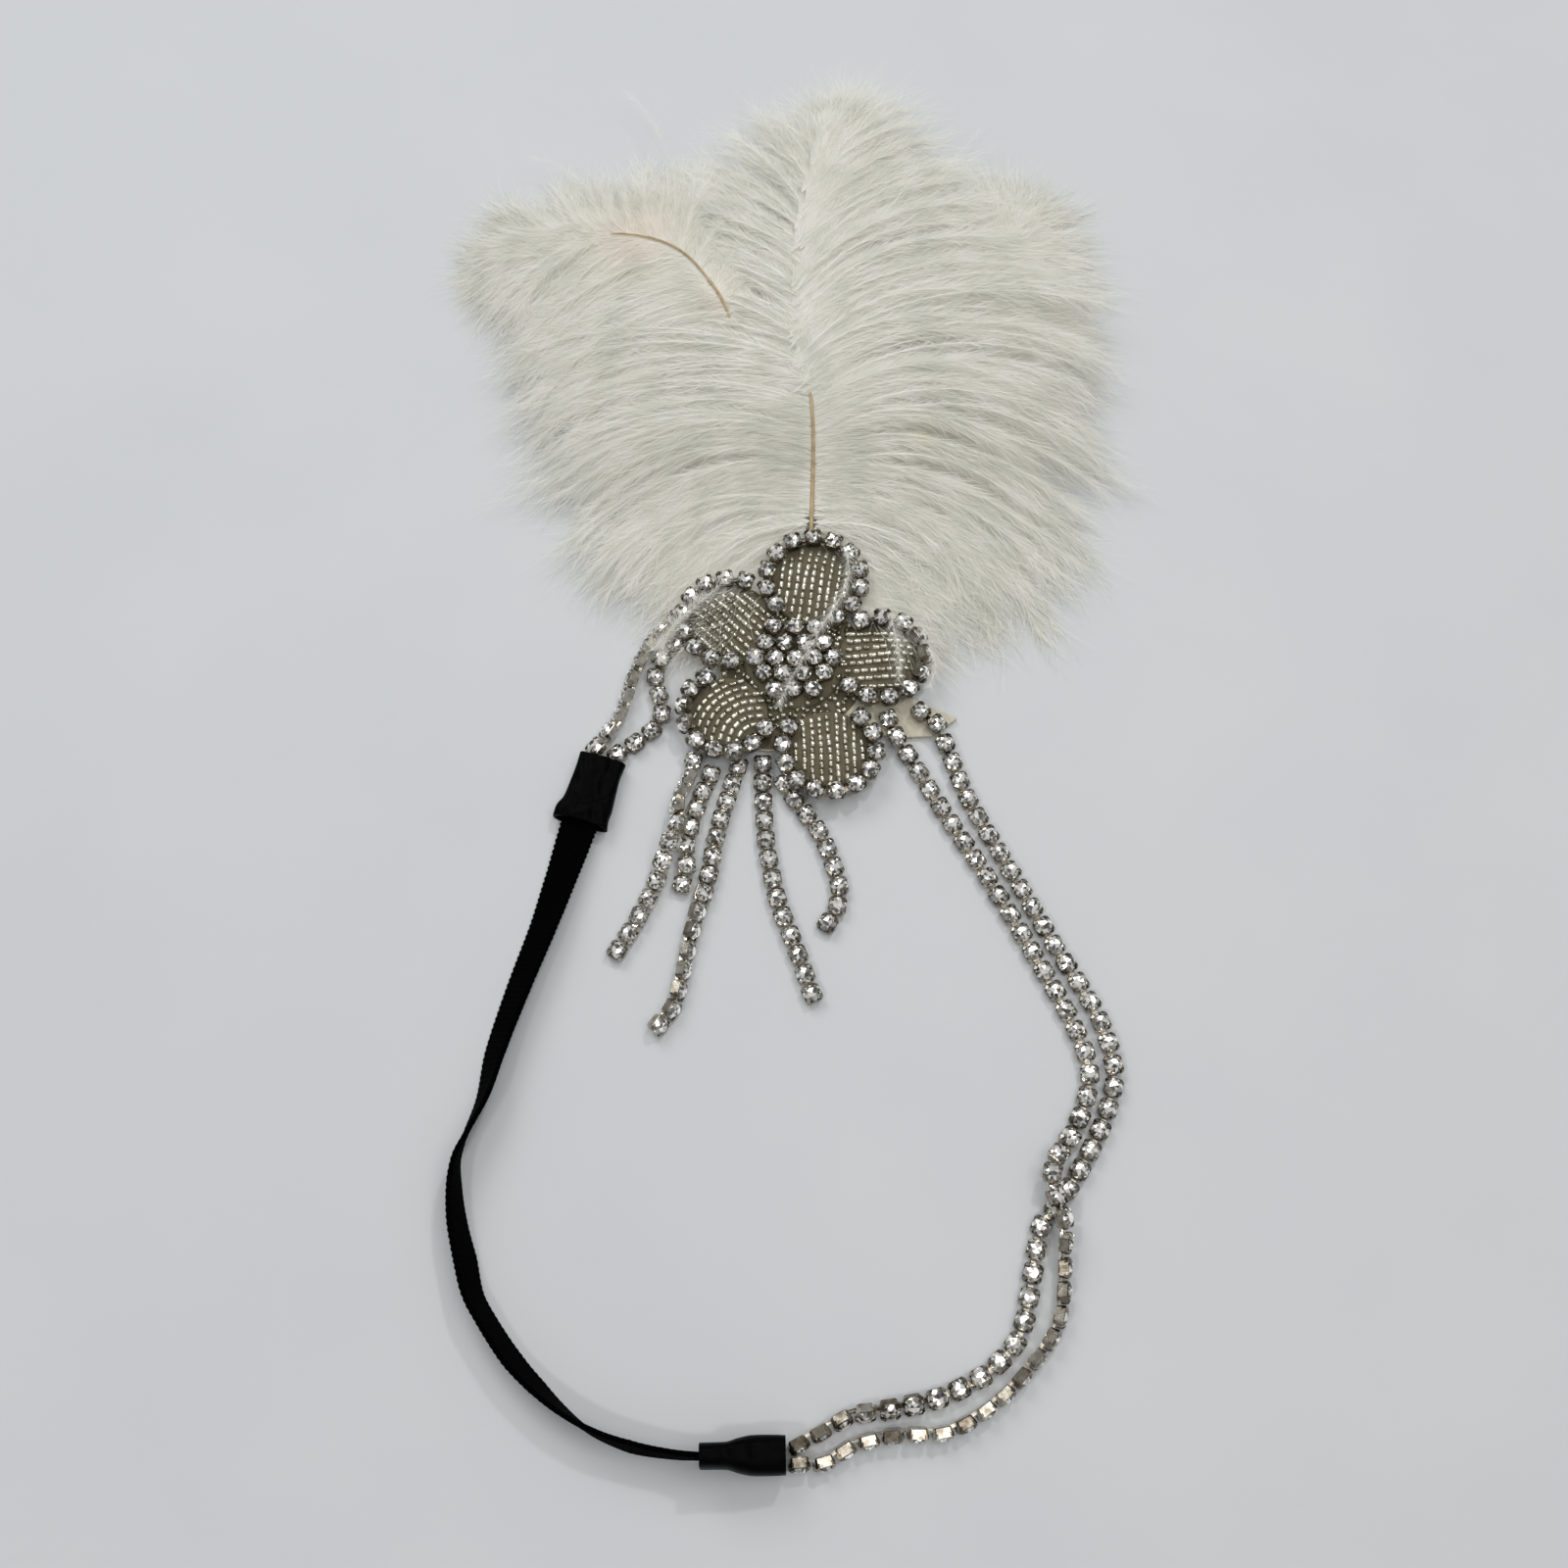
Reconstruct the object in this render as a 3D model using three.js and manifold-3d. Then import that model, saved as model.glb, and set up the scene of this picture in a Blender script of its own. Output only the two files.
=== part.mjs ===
// A flapper feather headband, laid flat. Millimetres, +X right, +Y towards the plumes, +Z up.
// The origin is the middle of the brooch's flat felt back, and z = 0 is the surface that it lies on.
import * as THREE from "three";
import { mergeVertices } from "three/addons/utils/BufferGeometryUtils.js";
import Module from "manifold-3d";

const wasm = await Module();
wasm.setup();

const gap = 0.3; // between two pieces that touch
const turn = THREE.MathUtils.degToRad;

// Set stones and the links between them
const cup = {
  foot: 3.1, // side of the square foot
  width: 4.1, // across the flats of the girdle
  wall: 2.1, // foot to girdle
  crown: 0.8, // girdle to table
  table: 1.9, // side of the stone's square table
};
const link = { width: 1.2, height: 0.7 };
const pitch = { side: 4.7, fringe: 4.35, rim: 4.75, centre: 4.5 };

// The brooch
const backing = { thickness: 1.2, middle: 17, inset: 0.5, tabReach: 36 };
const web = { bearing: -111, reach: 16.2, radius: 6.2 }; // felt between the bottom and the low left petal
const petal = { reach: 20, radius: 10.3, edge: 1.4, dome: 1.2, step: 0.4, sides: 22 };
const hub = { radius: 11.3, height: 2, soften: 0.4, sides: 32 };

// The elastic band and its two sleeves
const band = { width: 8.5, thickness: 1.2, bow: 38.5, tuck: 4, step: 4.6 };
const sleeveWall = 0.8;
const satin = { length: 15.8, width: 10.3, height: 4.8, heading: -106 };
const shrink = { length: 16.2, width: 7.3, height: 11.4, heading: -179 };

// The plumes lie in three layers under one dome
const loft = { crown: 18, edge: 3.6, radius: 92, middle: [5, 88], rampFrom: 33, rampTo: 66, between: 0.9 };
const layers = 3;
const quill = { radius: 0.6, rise: 0.3, bare: 0.055, under: 0.4, seat: 2.05 };

// Each chain's route, from the brooch outwards: x, y, lowest height, and how far the stones roll, in degrees
const sideRoutes = {
  side_chain_1: [
    [21, -14.3, 1.5, 0], [22.6, -18.6, 1.5, 0], [25, -22.2, 0, 0], [31.7, -34.4, 0, 0],
    [41, -50.5, 0, 0], [49.8, -67.1, 0, 0], [58.1, -84.3, 0, 0], [60.6, -92.6, 0, 0],
    [60.3, -97.5, 0, 0], [57, -106, 0, 0], [54.3, -109.8, 0.9, 0], [51.6, -114.6, 3, 0],
    [51.5, -118.4, 3.4, 10], [52.8, -122.6, 3.4, 40], [53.6, -127, 2.4, 70], [53.5, -131.5, 0.6, 80],
    [53.2, -136, 0, 82], [51.4, -144.8, 0, 84], [45.3, -153, 0, 88], [38.5, -159.4, 0, 94],
    [29.1, -164.6, 0, 100], [19.7, -165.2, 0, 104], [11.2, -167, 0, 102], [5.4, -170.2, 0, 96],
    [0.6, -170.5, 0, 90],
  ],
  side_chain_2: [
    [28.2, -12.5, 1.5, 0], [31.6, -15.6, 1.5, 0], [33.5, -19.8, 0, 0], [37.9, -32.6, 0, 0],
    [46.3, -49.3, 0, 0], [54.8, -66.1, 0, 0], [63.5, -82.9, 0, 0], [65.7, -92, 0, 0],
    [65.5, -97, 0, 0], [62.5, -105.3, 0, 0], [57.8, -113.8, 0, 0], [52.1, -121.9, 0, 0],
    [49, -125.6, 0, 0], [47.6, -131, 0, 0], [46, -139, 0, 0], [43.4, -147.2, 0, 0],
    [37, -153.7, 0, 0], [28.7, -157.8, 0, 10], [19.8, -160.2, 0, 40], [10.6, -161.8, 0, 80],
    [5.6, -164.4, 0, 88], [0.6, -167, 0, 90],
  ],
};
const leftRoutes = {
  left_chain_1: [
    [-27, 12.2, 0, 0], [-29.9, 8.8, 0, -55], [-33, 5.1, 0, -72], [-35, 0.7, 0, -76],
    [-36.5, -3.5, 0, -76], [-39, -12.5, 0, -72], [-41.4, -17, 0, -50], [-44, -20.6, 0, -25],
  ],
  left_chain_2: [
    [-26.9, 5, 0, 0], [-29.9, 1.6, 0, 0], [-31.2, -1.9, 0, 0], [-30.8, -6.2, 0, 0],
    [-29.6, -10.3, 0, 0], [-30.2, -14.6, 0, 0], [-33.4, -18, 0, 0], [-39.2, -22.3, 0, 0],
  ],
};
const fringeRoutes = {
  fringe_strand_1: [
    [-22.3, -23.9, 0, 0], [-23.5, -28.2, 0, -70], [-25.2, -32.5, 0.6, -80], [-25.6, -36.6, 2.4, -72],
    [-25.2, -40.4, 3.4, -25], [-26.9, -44.4, 3.3, 0], [-28.4, -48.3, 1.4, 0], [-29.7, -52.2, 0, 0],
    [-33.3, -60.3, 0, 0], [-37.6, -67.9, 0, 0],
  ],
  fringe_strand_2: [
    [-18.4, -27.2, 0, 0], [-20.9, -33.6, 0, 0], [-22.2, -38, 0, 0], [-23.2, -42, 0, 20],
    [-23.5, -45.6, 0, 50], [-23.4, -49.3, 0, 10], [-24.2, -53, 0, 0],
  ],
  fringe_strand_3: [
    [-12.3, -25.2, 0, 0], [-14.5, -32.4, 0, 0], [-16.8, -41, 0, 0], [-18.3, -49.7, 0, 0],
    [-19.2, -54, 0, 15], [-20.4, -58.2, 0, 60], [-22.4, -67, 0, 76], [-24.1, -75.9, 0, 80],
    [-25.5, -80.6, 0, 70], [-28.3, -84.3, 0, 55],
  ],
  fringe_strand_4: [
    [-7, -24.6, 0, 0], [-7, -29, 0, 0], [-6.7, -35.5, 0, 0], [-6.1, -43.5, 0, 0],
    [-3.7, -56.3, 0, 0], [0, -66.8, 0, 0], [3.6, -77.4, 0, 0],
  ],
  fringe_strand_5: [
    [-2.3, -29.2, 0, 0], [-0.7, -32.2, 0, 0], [1.5, -35.2, 0, 0], [5.6, -41.3, 0, 0], [8.6, -49.3, 0, 0],
    [9.6, -54.4, 0, 0], [8.9, -58.6, 0, 0], [7, -61.8, 0, 0],
  ],
};
// How far a thread loop runs back from a chain's first stone towards the felt
const threadTail = {
  left_chain_1: 0.5,
  left_chain_2: 0.9,
  fringe_strand_1: 0.6,
  fringe_strand_2: 1.3,
  fringe_strand_3: 0.3,
  fringe_strand_4: 0.6,
};

// Petals: bearing from the middle, and reach and radius as shares of petal.reach and petal.radius. The rim's
// first and last stone are measured from the bearing, and so is the middle of the stretch whose stones lean
// outwards. It reaches span to each side, and lean is the most that a stone leans there
const petals = [
  { name: "top", bearing: 77.5, reach: 1.04, radius: 1.06, rim: [-140, 140], leanAt: 0, span: 60, lean: 8 },
  { name: "right", bearing: 0.9, reach: 0.97, radius: 0.98, rim: [-136, 113], leanAt: 0, span: 62, lean: 74 },
  { name: "bottom", bearing: -70.9, reach: 1.175, radius: 1, rim: [-140, 118], leanAt: 0, span: 60, lean: 12 },
  { name: "low_left", bearing: -138.8, reach: 1, radius: 0.94, rim: [-102, 113], leanAt: -34, span: 34, lean: 66 },
  { name: "up_left", bearing: 146, reach: 0.88, radius: 1.03, rim: [-75, 126], leanAt: 0, span: 60, lean: 10 },
];
// The felt tab under the side chains: its corners as shares of backing.tabReach
const tabCorners = [
  [0.25, -0.2], [0.74, -0.235], [1.01, -0.37], [0.85, -0.49], [0.62, -0.5], [0.25, -0.4],
];

// The band between the sleeves: along the straight line, out from it as a share of band.bow, and its roll
const bandCourse = [
  [0, 0, 3], [0.078, -0.144, 25], [0.161, -0.296, 38], [0.257, -0.491, 45],
  [0.352, -0.669, 53], [0.418, -0.769, 66], [0.473, -0.894, 77], [0.503, -0.953, 87],
  [0.542, -0.985, 98], [0.596, -1, 107], [0.653, -0.989, 113], [0.708, -0.976, 110],
  [0.749, -0.928, 110], [0.812, -0.83, 112], [0.856, -0.734, 108], [0.896, -0.63, 99],
  [0.932, -0.507, 88], [0.965, -0.33, 82], [0.987, -0.146, 86], [1, 0, 89],
];

// Sleeve sections: along, width and height as shares, and a sideways drift as a share of the width
const satinSections = [
  [0, 1.02, 0.94, 0], [0.2, 0.98, 0.98, 0], [0.45, 1.02, 0.96, 0.01], [0.7, 1.08, 1, 0.02],
  [0.86, 1.16, 1.04, -0.02], [1, 1.2, 1, 0],
];
const shrinkSections = [
  [0, 0.64, 1, 0], [0.3, 0.66, 0.97, 0], [0.45, 0.86, 0.91, 0], [0.6, 0.99, 0.85, 0],
  [0.85, 1, 0.78, 0], [1, 0.97, 0.76, 0],
];

// Plumes, lowest layer first. The quill's points are shares of its length, from its foot beside the brooch.
// Each barb row gives: along the quill, then for the left and the right side the angle at which a barb leaves
// the quill, the angle that it droops to, and its length as a share of reach
const plumes = [
  {
    name: "plume_back", layer: 0, foot: [10.2, 30.2], length: 106, reach: 66, locks: 10,
    quill: [[0, 0], [0.07, 0.17], [0.17, 0.42], [0.3, 0.68], [0.46, 0.9]],
    barbs: [
      [0, 60, 130, 0.62, 60, 148, 0.76],
      [0.25, 58, 112, 0.72, 60, 118, 0.83],
      [0.55, 50, 90, 0.74, 56, 104, 0.76],
      [0.8, 40, 70, 0.62, 46, 84, 0.6],
      [1, 14, 36, 0.3, 16, 44, 0.3],
    ],
  },
  {
    name: "plume_left", layer: 1, foot: [-2.2, 29.5], length: 117, reach: 61, locks: 10,
    quill: [
      [0, 0], [-0.03, 0.22], [-0.085, 0.415], [-0.15, 0.555], [-0.225, 0.65], [-0.34, 0.7], [-0.5, 0.695],
      [-0.6, 0.66],
    ],
    barbs: [
      [0, 70, 152, 0.72, 50, 90, 0.4],
      [0.25, 64, 122, 0.9, 50, 84, 0.56],
      [0.5, 54, 102, 0.74, 48, 74, 0.6],
      [0.64, 38, 80, 0.56, 46, 76, 0.56],
      [0.76, 20, 54, 0.4, 42, 76, 0.5],
      [0.9, 12, 36, 0.28, 30, 60, 0.4],
      [1, 8, 20, 0.14, 14, 40, 0.26],
    ],
  },
  {
    name: "plume_front", layer: 2, foot: [4, 31.2], length: 116, reach: 78, locks: 12,
    quill: [[0, 0], [0.004, 0.2], [-0.008, 0.38], [0.006, 0.68], [0.06, 0.96]],
    barbs: [
      [0, 76, 162, 0.7, 76, 152, 0.76],
      [0.15, 70, 130, 0.82, 68, 126, 0.92],
      [0.38, 60, 108, 0.92, 58, 112, 0.97],
      [0.65, 46, 84, 0.74, 44, 90, 0.86],
      [0.85, 30, 58, 0.5, 32, 70, 0.6],
      [1, 10, 30, 0.22, 12, 40, 0.26],
    ],
  },
];

function paint(color, roughness, metalness) {
  return new THREE.MeshStandardMaterial({ color, roughness, metalness });
}
const materials = {
  silver: paint(0xb4b0a6, 0.3, 0.9),
  felt: paint(0xd9d2bd, 0.95, 0),
  net: paint(0x9d9580, 0.8, 0),
  elastic: paint(0x111113, 0.9, 0),
  satin: paint(0x0d0d10, 0.55, 0),
  shrink: paint(0x0c0c0e, 0.4, 0),
  plume: paint(0xe9e3d0, 0.95, 0),
};

// A closed body in progress: corner points and the triangles between them, facing out
class Body {
  points = [];
  triangles = [];

  add(corners) {
    const first = this.points.length;
    this.points.push(...corners);
    return first;
  }

  quad(a, b, c, d) {
    this.triangles.push([a, b, c], [a, c, d]);
  }

  // Joins two rings of as many points, given anticlockwise as seen from the first ring's outer side
  skin(first, second, count) {
    for (let j = 0; j < count; j += 1) {
      const k = (j + 1) % count;
      this.quad(first + j, second + j, second + k, first + k);
    }
  }

  geometry() {
    const shape = new THREE.BufferGeometry();
    shape.setAttribute("position", new THREE.Float32BufferAttribute(this.points.flat(), 3));
    shape.setIndex(this.triangles.flat());
    return shape;
  }
}

function toSolid(geometry) {
  const bare = geometry.clone();
  bare.deleteAttribute("normal");
  bare.deleteAttribute("uv");
  const merged = mergeVertices(bare, 1e-4);
  const mesh = new wasm.Mesh({
    numProp: 3,
    vertProperties: new Float32Array(merged.attributes.position.array),
    triVerts: new Uint32Array(merged.index.array),
  });
  return new wasm.Manifold(mesh);
}

function toGeometry(solid) {
  const mesh = solid.getMesh();
  const shape = new THREE.BufferGeometry();
  shape.setAttribute("position", new THREE.Float32BufferAttribute(mesh.vertProperties, 3));
  shape.setIndex(new THREE.Uint32BufferAttribute(mesh.triVerts, 1));
  return shape;
}

const join = (solids) => solids.reduce((whole, piece) => whole.add(piece));

const headband = new THREE.Group();

function place(name, geometry, material) {
  const mesh = new THREE.Mesh(geometry, material);
  mesh.name = name;
  headband.add(mesh);
  return mesh;
}

// Set stones
const cupHeight = cup.wall + cup.crown;
const cupReach = cup.width / 2 / Math.cos(Math.PI / 8); // middle to a corner of the girdle

// A set stone's corners in its own frame: along the chain, across it, and out through the table. In order: the
// foot's four, the girdle's eight, the table's four, and four for the link's end in the front and the back wall
function cupCorners() {
  const foot = cup.foot / 2;
  const table = cup.table / 2;
  const half = link.width / 2;
  const face = foot + ((cup.width - cup.foot) / 2) * (link.height / cup.wall);
  const ring = Array.from({ length: 8 }, (_, k) => (k - 0.5) * (Math.PI / 4));
  return [
    [foot, -foot, 0], [foot, foot, 0], [-foot, foot, 0], [-foot, -foot, 0],
    ...ring.map((angle) => [cupReach * Math.cos(angle), cupReach * Math.sin(angle), cup.wall]),
    [table, table, cupHeight], [-table, table, cupHeight],
    [-table, -table, cupHeight], [table, -table, cupHeight],
    [foot, -half, 0], [foot, half, 0], [face, half, link.height], [face, -half, link.height],
    [-foot, -half, 0], [-foot, half, 0], [-face, half, link.height], [-face, -half, link.height],
  ];
}
const cupShape = cupCorners();
const [girdleAt, tableAt, frontAt, backAt] = [4, 12, 16, 20]; // where those rows of corners start

// Faces of every set stone: side walls, table, the wall under each slanted side, and the crown's facets
const cupFaces = [[1, 2, 7, 6], [3, 0, 11, 10], [12, 13, 14, 15]];
for (let k = 0; k < 4; k += 1) {
  const [low, high] = [girdleAt + 2 * k, girdleAt + 2 * k + 1];
  const next = girdleAt + ((2 * k + 2) % 8);
  cupFaces.push([(k + 1) % 4, next, high]);
  cupFaces.push([low, high, tableAt + k, tableAt + ((k + 3) % 4)]);
  cupFaces.push([high, next, tableAt + k]);
}
// Foot, front and back wall of a stone that stands alone, and of one with a link's end in front and behind
const plainWalls = [[0, 3, 2, 1], [0, 1, 5, 4], [2, 3, 9, 8]];
const linkedWalls = [
  [0, 3, 20, 16], [16, 20, 21, 17], [17, 21, 2, 1],
  [0, 16, 19], [0, 19, 4], [19, 18, 5, 4], [17, 1, 5], [17, 5, 18],
  [2, 21, 22], [2, 22, 8], [22, 23, 9, 8], [20, 3, 9], [20, 9, 23],
];

// A seat holds one set stone: its middle in plan, its lowest height, the chain's direction there and the roll
function placedCup({ x, y, low, along, roll }) {
  const side = new THREE.Vector3(-along.y, along.x, 0).normalize();
  const up = new THREE.Vector3().crossVectors(along, side);
  const out = up.clone().multiplyScalar(Math.cos(roll)).addScaledVector(side, Math.sin(roll));
  const across = side.clone().multiplyScalar(Math.cos(roll)).addScaledVector(up, -Math.sin(roll));
  const corners = cupShape.map(([u, w, n]) => [
    x + along.x * u + across.x * w + out.x * (n - cupHeight / 2),
    y + along.y * u + across.y * w + out.y * (n - cupHeight / 2),
    along.z * u + across.z * w + out.z * (n - cupHeight / 2),
  ]);
  const lowest = Math.min(...corners.map((corner) => corner[2]));
  return corners.map((corner) => [corner[0], corner[1], corner[2] - lowest + low]);
}

function addCup(body, seat, linked) {
  const corners = placedCup(seat);
  const first = body.add(linked ? corners : corners.slice(0, frontAt));
  for (const [a, b, c, d] of [...cupFaces, ...(linked ? linkedWalls : plainWalls)]) {
    if (d === undefined) body.triangles.push([first + a, first + b, first + c]);
    else body.quad(first + a, first + b, first + c, first + d);
  }
  return first;
}

function addLink(body, front, back) {
  body.quad(front, front + 1, back + 1, back);
  body.quad(front + 3, back + 3, back + 2, front + 2);
  body.quad(back + 1, front + 1, front + 2, back + 2);
  body.quad(front, back, back + 3, front + 3);
}

// A string of set stones joined by links, with an optional thread loop behind its first stone
function chain(seats, tail = 0) {
  const body = new Body();
  const starts = seats.map((seat) => addCup(body, seat, true));
  for (let i = 1; i < starts.length; i += 1) addLink(body, starts[i - 1] + frontAt, starts[i] + backAt);
  const last = starts.at(-1) + frontAt;
  body.quad(last, last + 1, last + 2, last + 3);
  const behind = starts[0] + backAt;
  if (tail === 0) {
    body.quad(behind + 1, behind, behind + 3, behind + 2);
    return body;
  }
  const along = seats[0].along;
  const ends = body.points.slice(behind, behind + 4);
  const loop = body.add(ends.map(([x, y, z]) => [x - along.x * tail, y - along.y * tail, z]));
  addLink(body, loop, behind);
  body.quad(loop + 1, loop, loop + 3, loop + 2);
  return body;
}

function seatsOn(route, spacing) {
  const spots = route.map(([x, y, low]) => new THREE.Vector3(x, y, low));
  const curve = new THREE.CatmullRomCurve3(spots, false, "centripetal");
  curve.arcLengthDivisions = 600;
  const steps = Math.max(1, Math.round(curve.getLength() / spacing));
  return Array.from({ length: steps + 1 }, (_, i) => {
    const share = i / steps;
    const point = curve.getPointAt(share);
    const place = curve.getUtoTmapping(share) * (route.length - 1);
    const row = Math.min(Math.floor(place), route.length - 2);
    const roll = THREE.MathUtils.lerp(route[row][3], route[row + 1][3], place - row);
    const low = Math.max(0, point.z);
    return { x: point.x, y: point.y, low, along: curve.getTangentAt(share), roll: turn(roll) };
  });
}

function placeChains(routes, spacing) {
  for (const [name, route] of Object.entries(routes)) {
    place(name, chain(seatsOn(route, spacing), threadTail[name]).geometry(), materials.silver);
  }
}
placeChains(sideRoutes, pitch.side);
placeChains(leftRoutes, pitch.side);
placeChains(fringeRoutes, pitch.fringe);

// The brooch
function disc(x, y, radius, low, high, sides = petal.sides) {
  const geometry = new THREE.CylinderGeometry(radius, radius, high - low, sides);
  geometry.rotateX(Math.PI / 2);
  geometry.translate(x, y, (low + high) / 2);
  return geometry;
}

// A solid of revolution about +Z from its profile of radius and height
function turned(profile, sides) {
  const geometry = new THREE.LatheGeometry(profile.map(([r, z]) => new THREE.Vector2(r, z)), sides);
  geometry.rotateX(Math.PI / 2);
  return geometry;
}

const petalShapes = petals.map((row) => ({
  ...row,
  x: row.reach * petal.reach * Math.cos(turn(row.bearing)),
  y: row.reach * petal.reach * Math.sin(turn(row.bearing)),
  round: row.radius * petal.radius,
}));

function backingSolid() {
  const pieces = petalShapes.map((p) => disc(p.x, p.y, p.round - backing.inset, 0, backing.thickness));
  pieces.push(disc(0, 0, backing.middle, 0, backing.thickness));
  const webX = web.reach * Math.cos(turn(web.bearing));
  const webY = web.reach * Math.sin(turn(web.bearing));
  pieces.push(disc(webX, webY, web.radius, 0, backing.thickness));
  const corners = tabCorners.map(([x, y]) => new THREE.Vector2(x, y).multiplyScalar(backing.tabReach));
  const options = { depth: backing.thickness, bevelEnabled: false };
  pieces.push(new THREE.ExtrudeGeometry(new THREE.Shape(corners), options));
  return join(pieces.map(toSolid));
}

const petalFloor = backing.thickness + gap;
const rimFloor = petalFloor + petal.edge + gap;

function petalSolid({ x, y, round }) {
  const outer = round - backing.inset;
  const inner = round - cup.width / 2 - gap;
  const edge = petalFloor + petal.edge;
  const crown = edge + petal.dome;
  const profile = [
    [0, petalFloor], [outer, petalFloor], [outer, edge], [inner, edge],
    [inner - petal.step, edge + petal.step], [inner * 0.6, crown - petal.step * 0.6], [0, crown],
  ];
  const dome = turned(profile, petal.sides);
  dome.translate(x, y, 0);
  return toSolid(dome).subtract(toSolid(disc(0, 0, hub.radius + gap, 0, crown + gap, hub.sides)));
}

// A rim's string of stones stops short of the middle and of the rims that are there already
function rimSeats({ x, y, round, bearing, rim, leanAt, span, lean }, placed) {
  const [from, to] = rim;
  const steps = Math.round((turn(to - from) * round) / pitch.rim);
  const seats = Array.from({ length: steps + 1 }, (_, i) => {
    const away = from + ((to - from) * i) / steps;
    const angle = turn(bearing + away);
    const off = Math.min(1, Math.abs(away - leanAt) / span);
    return {
      x: x + round * Math.cos(angle),
      y: y + round * Math.sin(angle),
      low: rimFloor,
      along: new THREE.Vector3(-Math.sin(angle), Math.cos(angle), 0),
      roll: -turn(lean * Math.cos((off * Math.PI) / 2)),
    };
  });
  const clear = ({ x: u, y: v }) => (
    Math.hypot(u, v) > hub.radius + cup.width / 2 + gap
    && placed.every((other) => Math.hypot(u - other.x, v - other.y) > cup.width + gap / 2)
  );
  const first = seats.findIndex(clear);
  const last = seats.findLastIndex(clear);
  return seats.slice(first, last + 1);
}

function centreSolid() {
  const top = petalFloor + hub.height;
  const profile = [
    [0, petalFloor], [hub.radius, petalFloor], [hub.radius, top - hub.soften],
    [hub.radius - hub.soften, top], [0, top],
  ];
  const bite = 0.2; // how far a foot sinks into the base that it is soldered to
  const pieces = [toSolid(turned(profile, hub.sides))];
  for (let row = -2; row <= 2; row += 1) {
    const across = 5 - Math.abs(row);
    for (let k = 0; k < across; k += 1) {
      const stone = new Body();
      const seat = {
        x: (k - (across - 1) / 2) * pitch.centre,
        y: row * pitch.centre * Math.sqrt(0.75),
        low: top - bite,
        along: new THREE.Vector3(Math.cos(row + k), Math.sin(row + k), 0),
        roll: 0,
      };
      addCup(stone, seat, false);
      pieces.push(toSolid(stone.geometry()));
    }
  }
  return join(pieces);
}

place("brooch_backing", toGeometry(backingSolid()), materials.felt);
const rimStones = [];
for (const shape of petalShapes) {
  place(`petal_${shape.name}`, toGeometry(petalSolid(shape)), materials.net);
  const seats = rimSeats(shape, rimStones);
  rimStones.push(...seats);
  place(`rim_${shape.name}`, chain(seats).geometry(), materials.silver);
}
place("centre_cluster", toGeometry(centreSolid()), materials.silver);

// Sleeves: a flattened tube, open at both ends, from a point along a heading
function sleeve(start, heading, size, sections) {
  const sides = 12;
  const square = 0.62; // below 1 the oval is squarer
  const body = new Body();
  const along = new THREE.Vector2(Math.cos(turn(heading)), Math.sin(turn(heading)));
  const rings = sections.map(([share, width, height, drift]) => [0, sleeveWall].map((inset) => {
    const half = (width * size.width) / 2 - inset;
    const tall = (height * size.height) / 2 - inset;
    const middle = start.clone().addScaledVector(along, share * size.length);
    return body.add(Array.from({ length: sides }, (_, k) => {
      const angle = ((k + 0.5) / sides) * 2 * Math.PI;
      const bend = (value) => Math.sign(value) * Math.abs(value) ** square;
      const across = bend(Math.cos(angle)) * half + drift * size.width;
      const height3 = (height * size.height) / 2 + bend(Math.sin(angle)) * tall;
      return [middle.x - along.y * across, middle.y + along.x * across, height3];
    }));
  }));
  for (let i = 1; i < rings.length; i += 1) {
    body.skin(rings[i][0], rings[i - 1][0], sides);
    body.skin(rings[i - 1][1], rings[i][1], sides);
  }
  body.skin(rings[0][0], rings[0][1], sides);
  body.skin(rings.at(-1)[1], rings.at(-1)[0], sides);
  return body;
}

const lastOf = (route) => new THREE.Vector2(route.at(-1)[0], route.at(-1)[1]);

function headingVector(heading) {
  return new THREE.Vector2(Math.cos(turn(heading)), Math.sin(turn(heading)));
}

// A sleeve's mouth lies just past the last stones of the two chains that run into it
function mouthAfter(routes, heading) {
  const [one, two] = Object.values(routes).map(lastOf);
  return one.add(two).multiplyScalar(0.5).addScaledVector(headingVector(heading), cupReach + gap);
}
const satinMouth = mouthAfter(leftRoutes, satin.heading);
const shrinkMouth = mouthAfter(sideRoutes, shrink.heading);
const shrinkFar = shrinkMouth.clone().addScaledVector(headingVector(shrink.heading), shrink.length);
place("satin_sleeve", sleeve(satinMouth, satin.heading, satin, satinSections).geometry(), materials.satin);
place(
  "end_sleeve",
  sleeve(shrinkFar, shrink.heading + 180, shrink, shrinkSections).geometry(),
  materials.shrink,
);

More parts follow.
